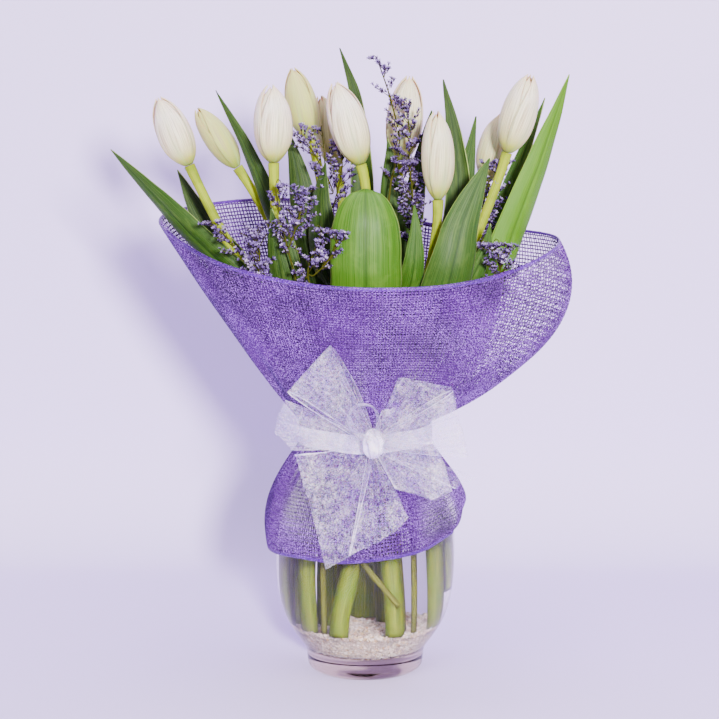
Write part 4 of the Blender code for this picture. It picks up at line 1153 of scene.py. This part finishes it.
def make_bow():
    paint = organza_paint("white_organza", 0.03)
    for number, (name, nodes, far, swell, slip, pleats, length, cut_width) in enumerate(BOW):
        far, swell, length, cut_width = metres((far, swell, length, cut_width))
        near = facing_order(gathered(middle_of(far)), far)
        if slip is None:
            layers, steps, path = 1, 44, tail_path(swell)
        else:
            layers, steps, path = 2, 64, loop_path(swell, metres(slip))
        shell = Shell()
        shell.grid(strip_rows(near, far, steps, 72, path, pleats, cut_width, number * 1.7 + 0.5))
        made = shell.piece(name, paint, nodes)


def make_ring():
    """The little loop that stands up beside the knot."""
    way = metres((
        (4, -64, 175), (-6, -69, 182), (-11, -71, 193), (-6, -72, 200.5),
        (4, -71, 200), (8.5, -69, 191), (7, -65, 179),
    ))
    line = bend(way, 60)
    forward = Vector((0, -1, 0))
    rows = []
    for i, point in enumerate(line):
        across = forward.cross(heading_at(line, i)) * 0.35 + forward
        across.normalize()
        half = 0.0046 + 0.0006 * wobble(i * 0.1, 0, 0, 1.0)
        row = []
        for c in range(13):
            u = 2 * c / 12 - 1
            row.append(point + across * half * u + Vector((0, 0, 0.0005 * math.sin(5 * u + i * 0.3))))
        rows.append(row)
    shell = Shell()
    shell.grid(rows)
    paint = organza_paint("white_organza_ring", 0.22)
    made = shell.piece("bow_ring", paint, ["ribbon_knot"])


def make_knot():
    centre = knot_centre()
    rows = []
    for i in range(49):
        up = math.pi * i / 48
        row = []
        for k in range(96):
            turn = math.tau * k / 96
            pleat = 0.10 * math.sin(9 * turn + 2.0 * wobble(turn, up, 0, 1.3, 2))
            pleat += 0.08 * wobble(math.cos(turn) * 2, math.sin(turn) * 2, up * 2.4, 1.0, 5)
            tuck = 0.07 * math.sin(7 * up + 3 * wobble(turn, 0, 0, 1.0, 3))
            size = 1.0 + pleat + tuck
            x = 0.0074 * math.sin(up) * math.cos(turn) * size
            y = 0.0080 * math.sin(up) * math.sin(turn) * size
            z = 0.0098 * math.cos(up) * (1 + 0.5 * pleat)
            row.append(centre + Vector((x, y, z)))
        rows.append(row)
    shell = Shell()
    shell.grid(rows, wraps=True)
    shell.piece("knot_wrap", organza_paint("white_organza_knot", 0.86), ["ribbon_knot"])


def make_band():
    inner = NET_TIE_RADIUS + NET_THICKNESS / 2 + GAP + NET_LAP + 0.0006
    rows = []
    for i in range(13):
        v = i / 12
        height = BAND_LOW + (BAND_HIGH - BAND_LOW) * v
        row = []
        for k in range(360):
            turn = math.tau * k / 360
            pleat = 0.0004 * math.sin(38 * v + 3 * math.sin(2 * turn)) + 0.0005 * math.sin(math.pi * v)
            radius = inner + pleat
            wave = 0.0006 * math.sin(5 * turn)
            row.append((radius * math.cos(turn), radius * math.sin(turn), height + wave))
        rows.append(row)
    shell = Shell()
    shell.grid(rows, wraps=True)
    paint = organza_paint("white_organza_band", 0.70)
    made = shell.piece("band_wrap", paint, ["ribbon_band"])


# ---- The room, the light and the camera ---------------------------------------------------------


def make_stage():
    """A floor that curves up into a wall, as (y, z) points from front to back."""
    profile = [(-0.70, 0.0), (-0.30, 0.0), (0.0, 0.0), (0.20, 0.0)]
    for turn in (math.pi / 2 * k / 14 for k in range(1, 15)):
        profile.append((0.22 + 0.10 * math.sin(turn), 0.10 * (1 - math.cos(turn))))
    profile += [(0.32, 0.6), (0.32, 2.2)]
    points = [(x, y, z) for y, z in profile for x in (-3.0, 3.0)]
    faces = [(2 * i, 2 * i + 1, 2 * i + 3, 2 * i + 2) for i in range(len(profile) - 1)]
    mesh = bpy.data.meshes.new("backdrop")
    mesh.from_pydata(points, [], faces)
    mesh.shade_smooth()
    backdrop = place("backdrop", mesh)
    paper = Paint("backdrop", Roughness=0.85)
    drift = paper.noise(paper.place(), 1.4, 2.0, 0.5)
    grain = paper.noise(paper.place(), 900.0, 2.0, 0.5)
    paper.look(Base_Color=paper.ramp(drift, (0.3, (220, 199, 255)), (0.7, (227, 207, 255))))
    paper.bump(grain, 0.05, 0.0002)
    paper.open_behind()
    mesh.materials.append(paper.material)


def point_at(made, spot, aim):
    made.location = spot
    made.rotation_euler = (aim - spot).to_track_quat("-Z", "Y").to_euler()


def add_light(name, spot, aim, size, energy, colour):
    lamp = bpy.data.lights.new(name, "AREA")
    lamp.shape = "DISK"
    lamp.size, lamp.energy, lamp.color = size, energy, colour
    point_at(place(name, lamp), Vector(spot), Vector(aim))


def make_light():
    add_light("key", (0.34, -1.95, 0.72), (0.0, 0.0, 0.22), 0.22, KEY, (1.0, 0.985, 0.97))
    add_light("fill", (-1.30, -1.20, 0.70), (0.0, 0.0, 0.22), 0.9, FILL, (0.95, 0.96, 1.0))
    add_light("top", (0.10, -0.10, 1.60), (0.0, 0.05, 0.20), 0.8, TOP, (1.0, 1.0, 1.0))
    world = bpy.data.worlds.new("studio")
    world.use_nodes = True
    shade = world.node_tree.nodes["Background"]
    shade.inputs["Color"].default_value = (0.91, 0.88, 1.0, 1.0)
    shade.inputs["Strength"].default_value = WORLD
    bpy.context.scene.world = world


def make_camera():
    lens = bpy.data.cameras.new("camera")
    lens.lens, lens.sensor_width = 106.98, 36.0
    lens.clip_start = 0.05
    made = place("camera", lens)
    point_at(made, Vector((-0.004, -1.45, 0.485)), Vector((-0.004, 0.0, 0.2185)))
    bpy.context.scene.camera = made


make_vase()
make_water()
make_stones()
make_stems()
make_blooms()
make_leaves()
make_sprays()
make_net()
make_band()
make_knot()
make_ring()
make_bow()
make_stage()
make_light()
make_camera()
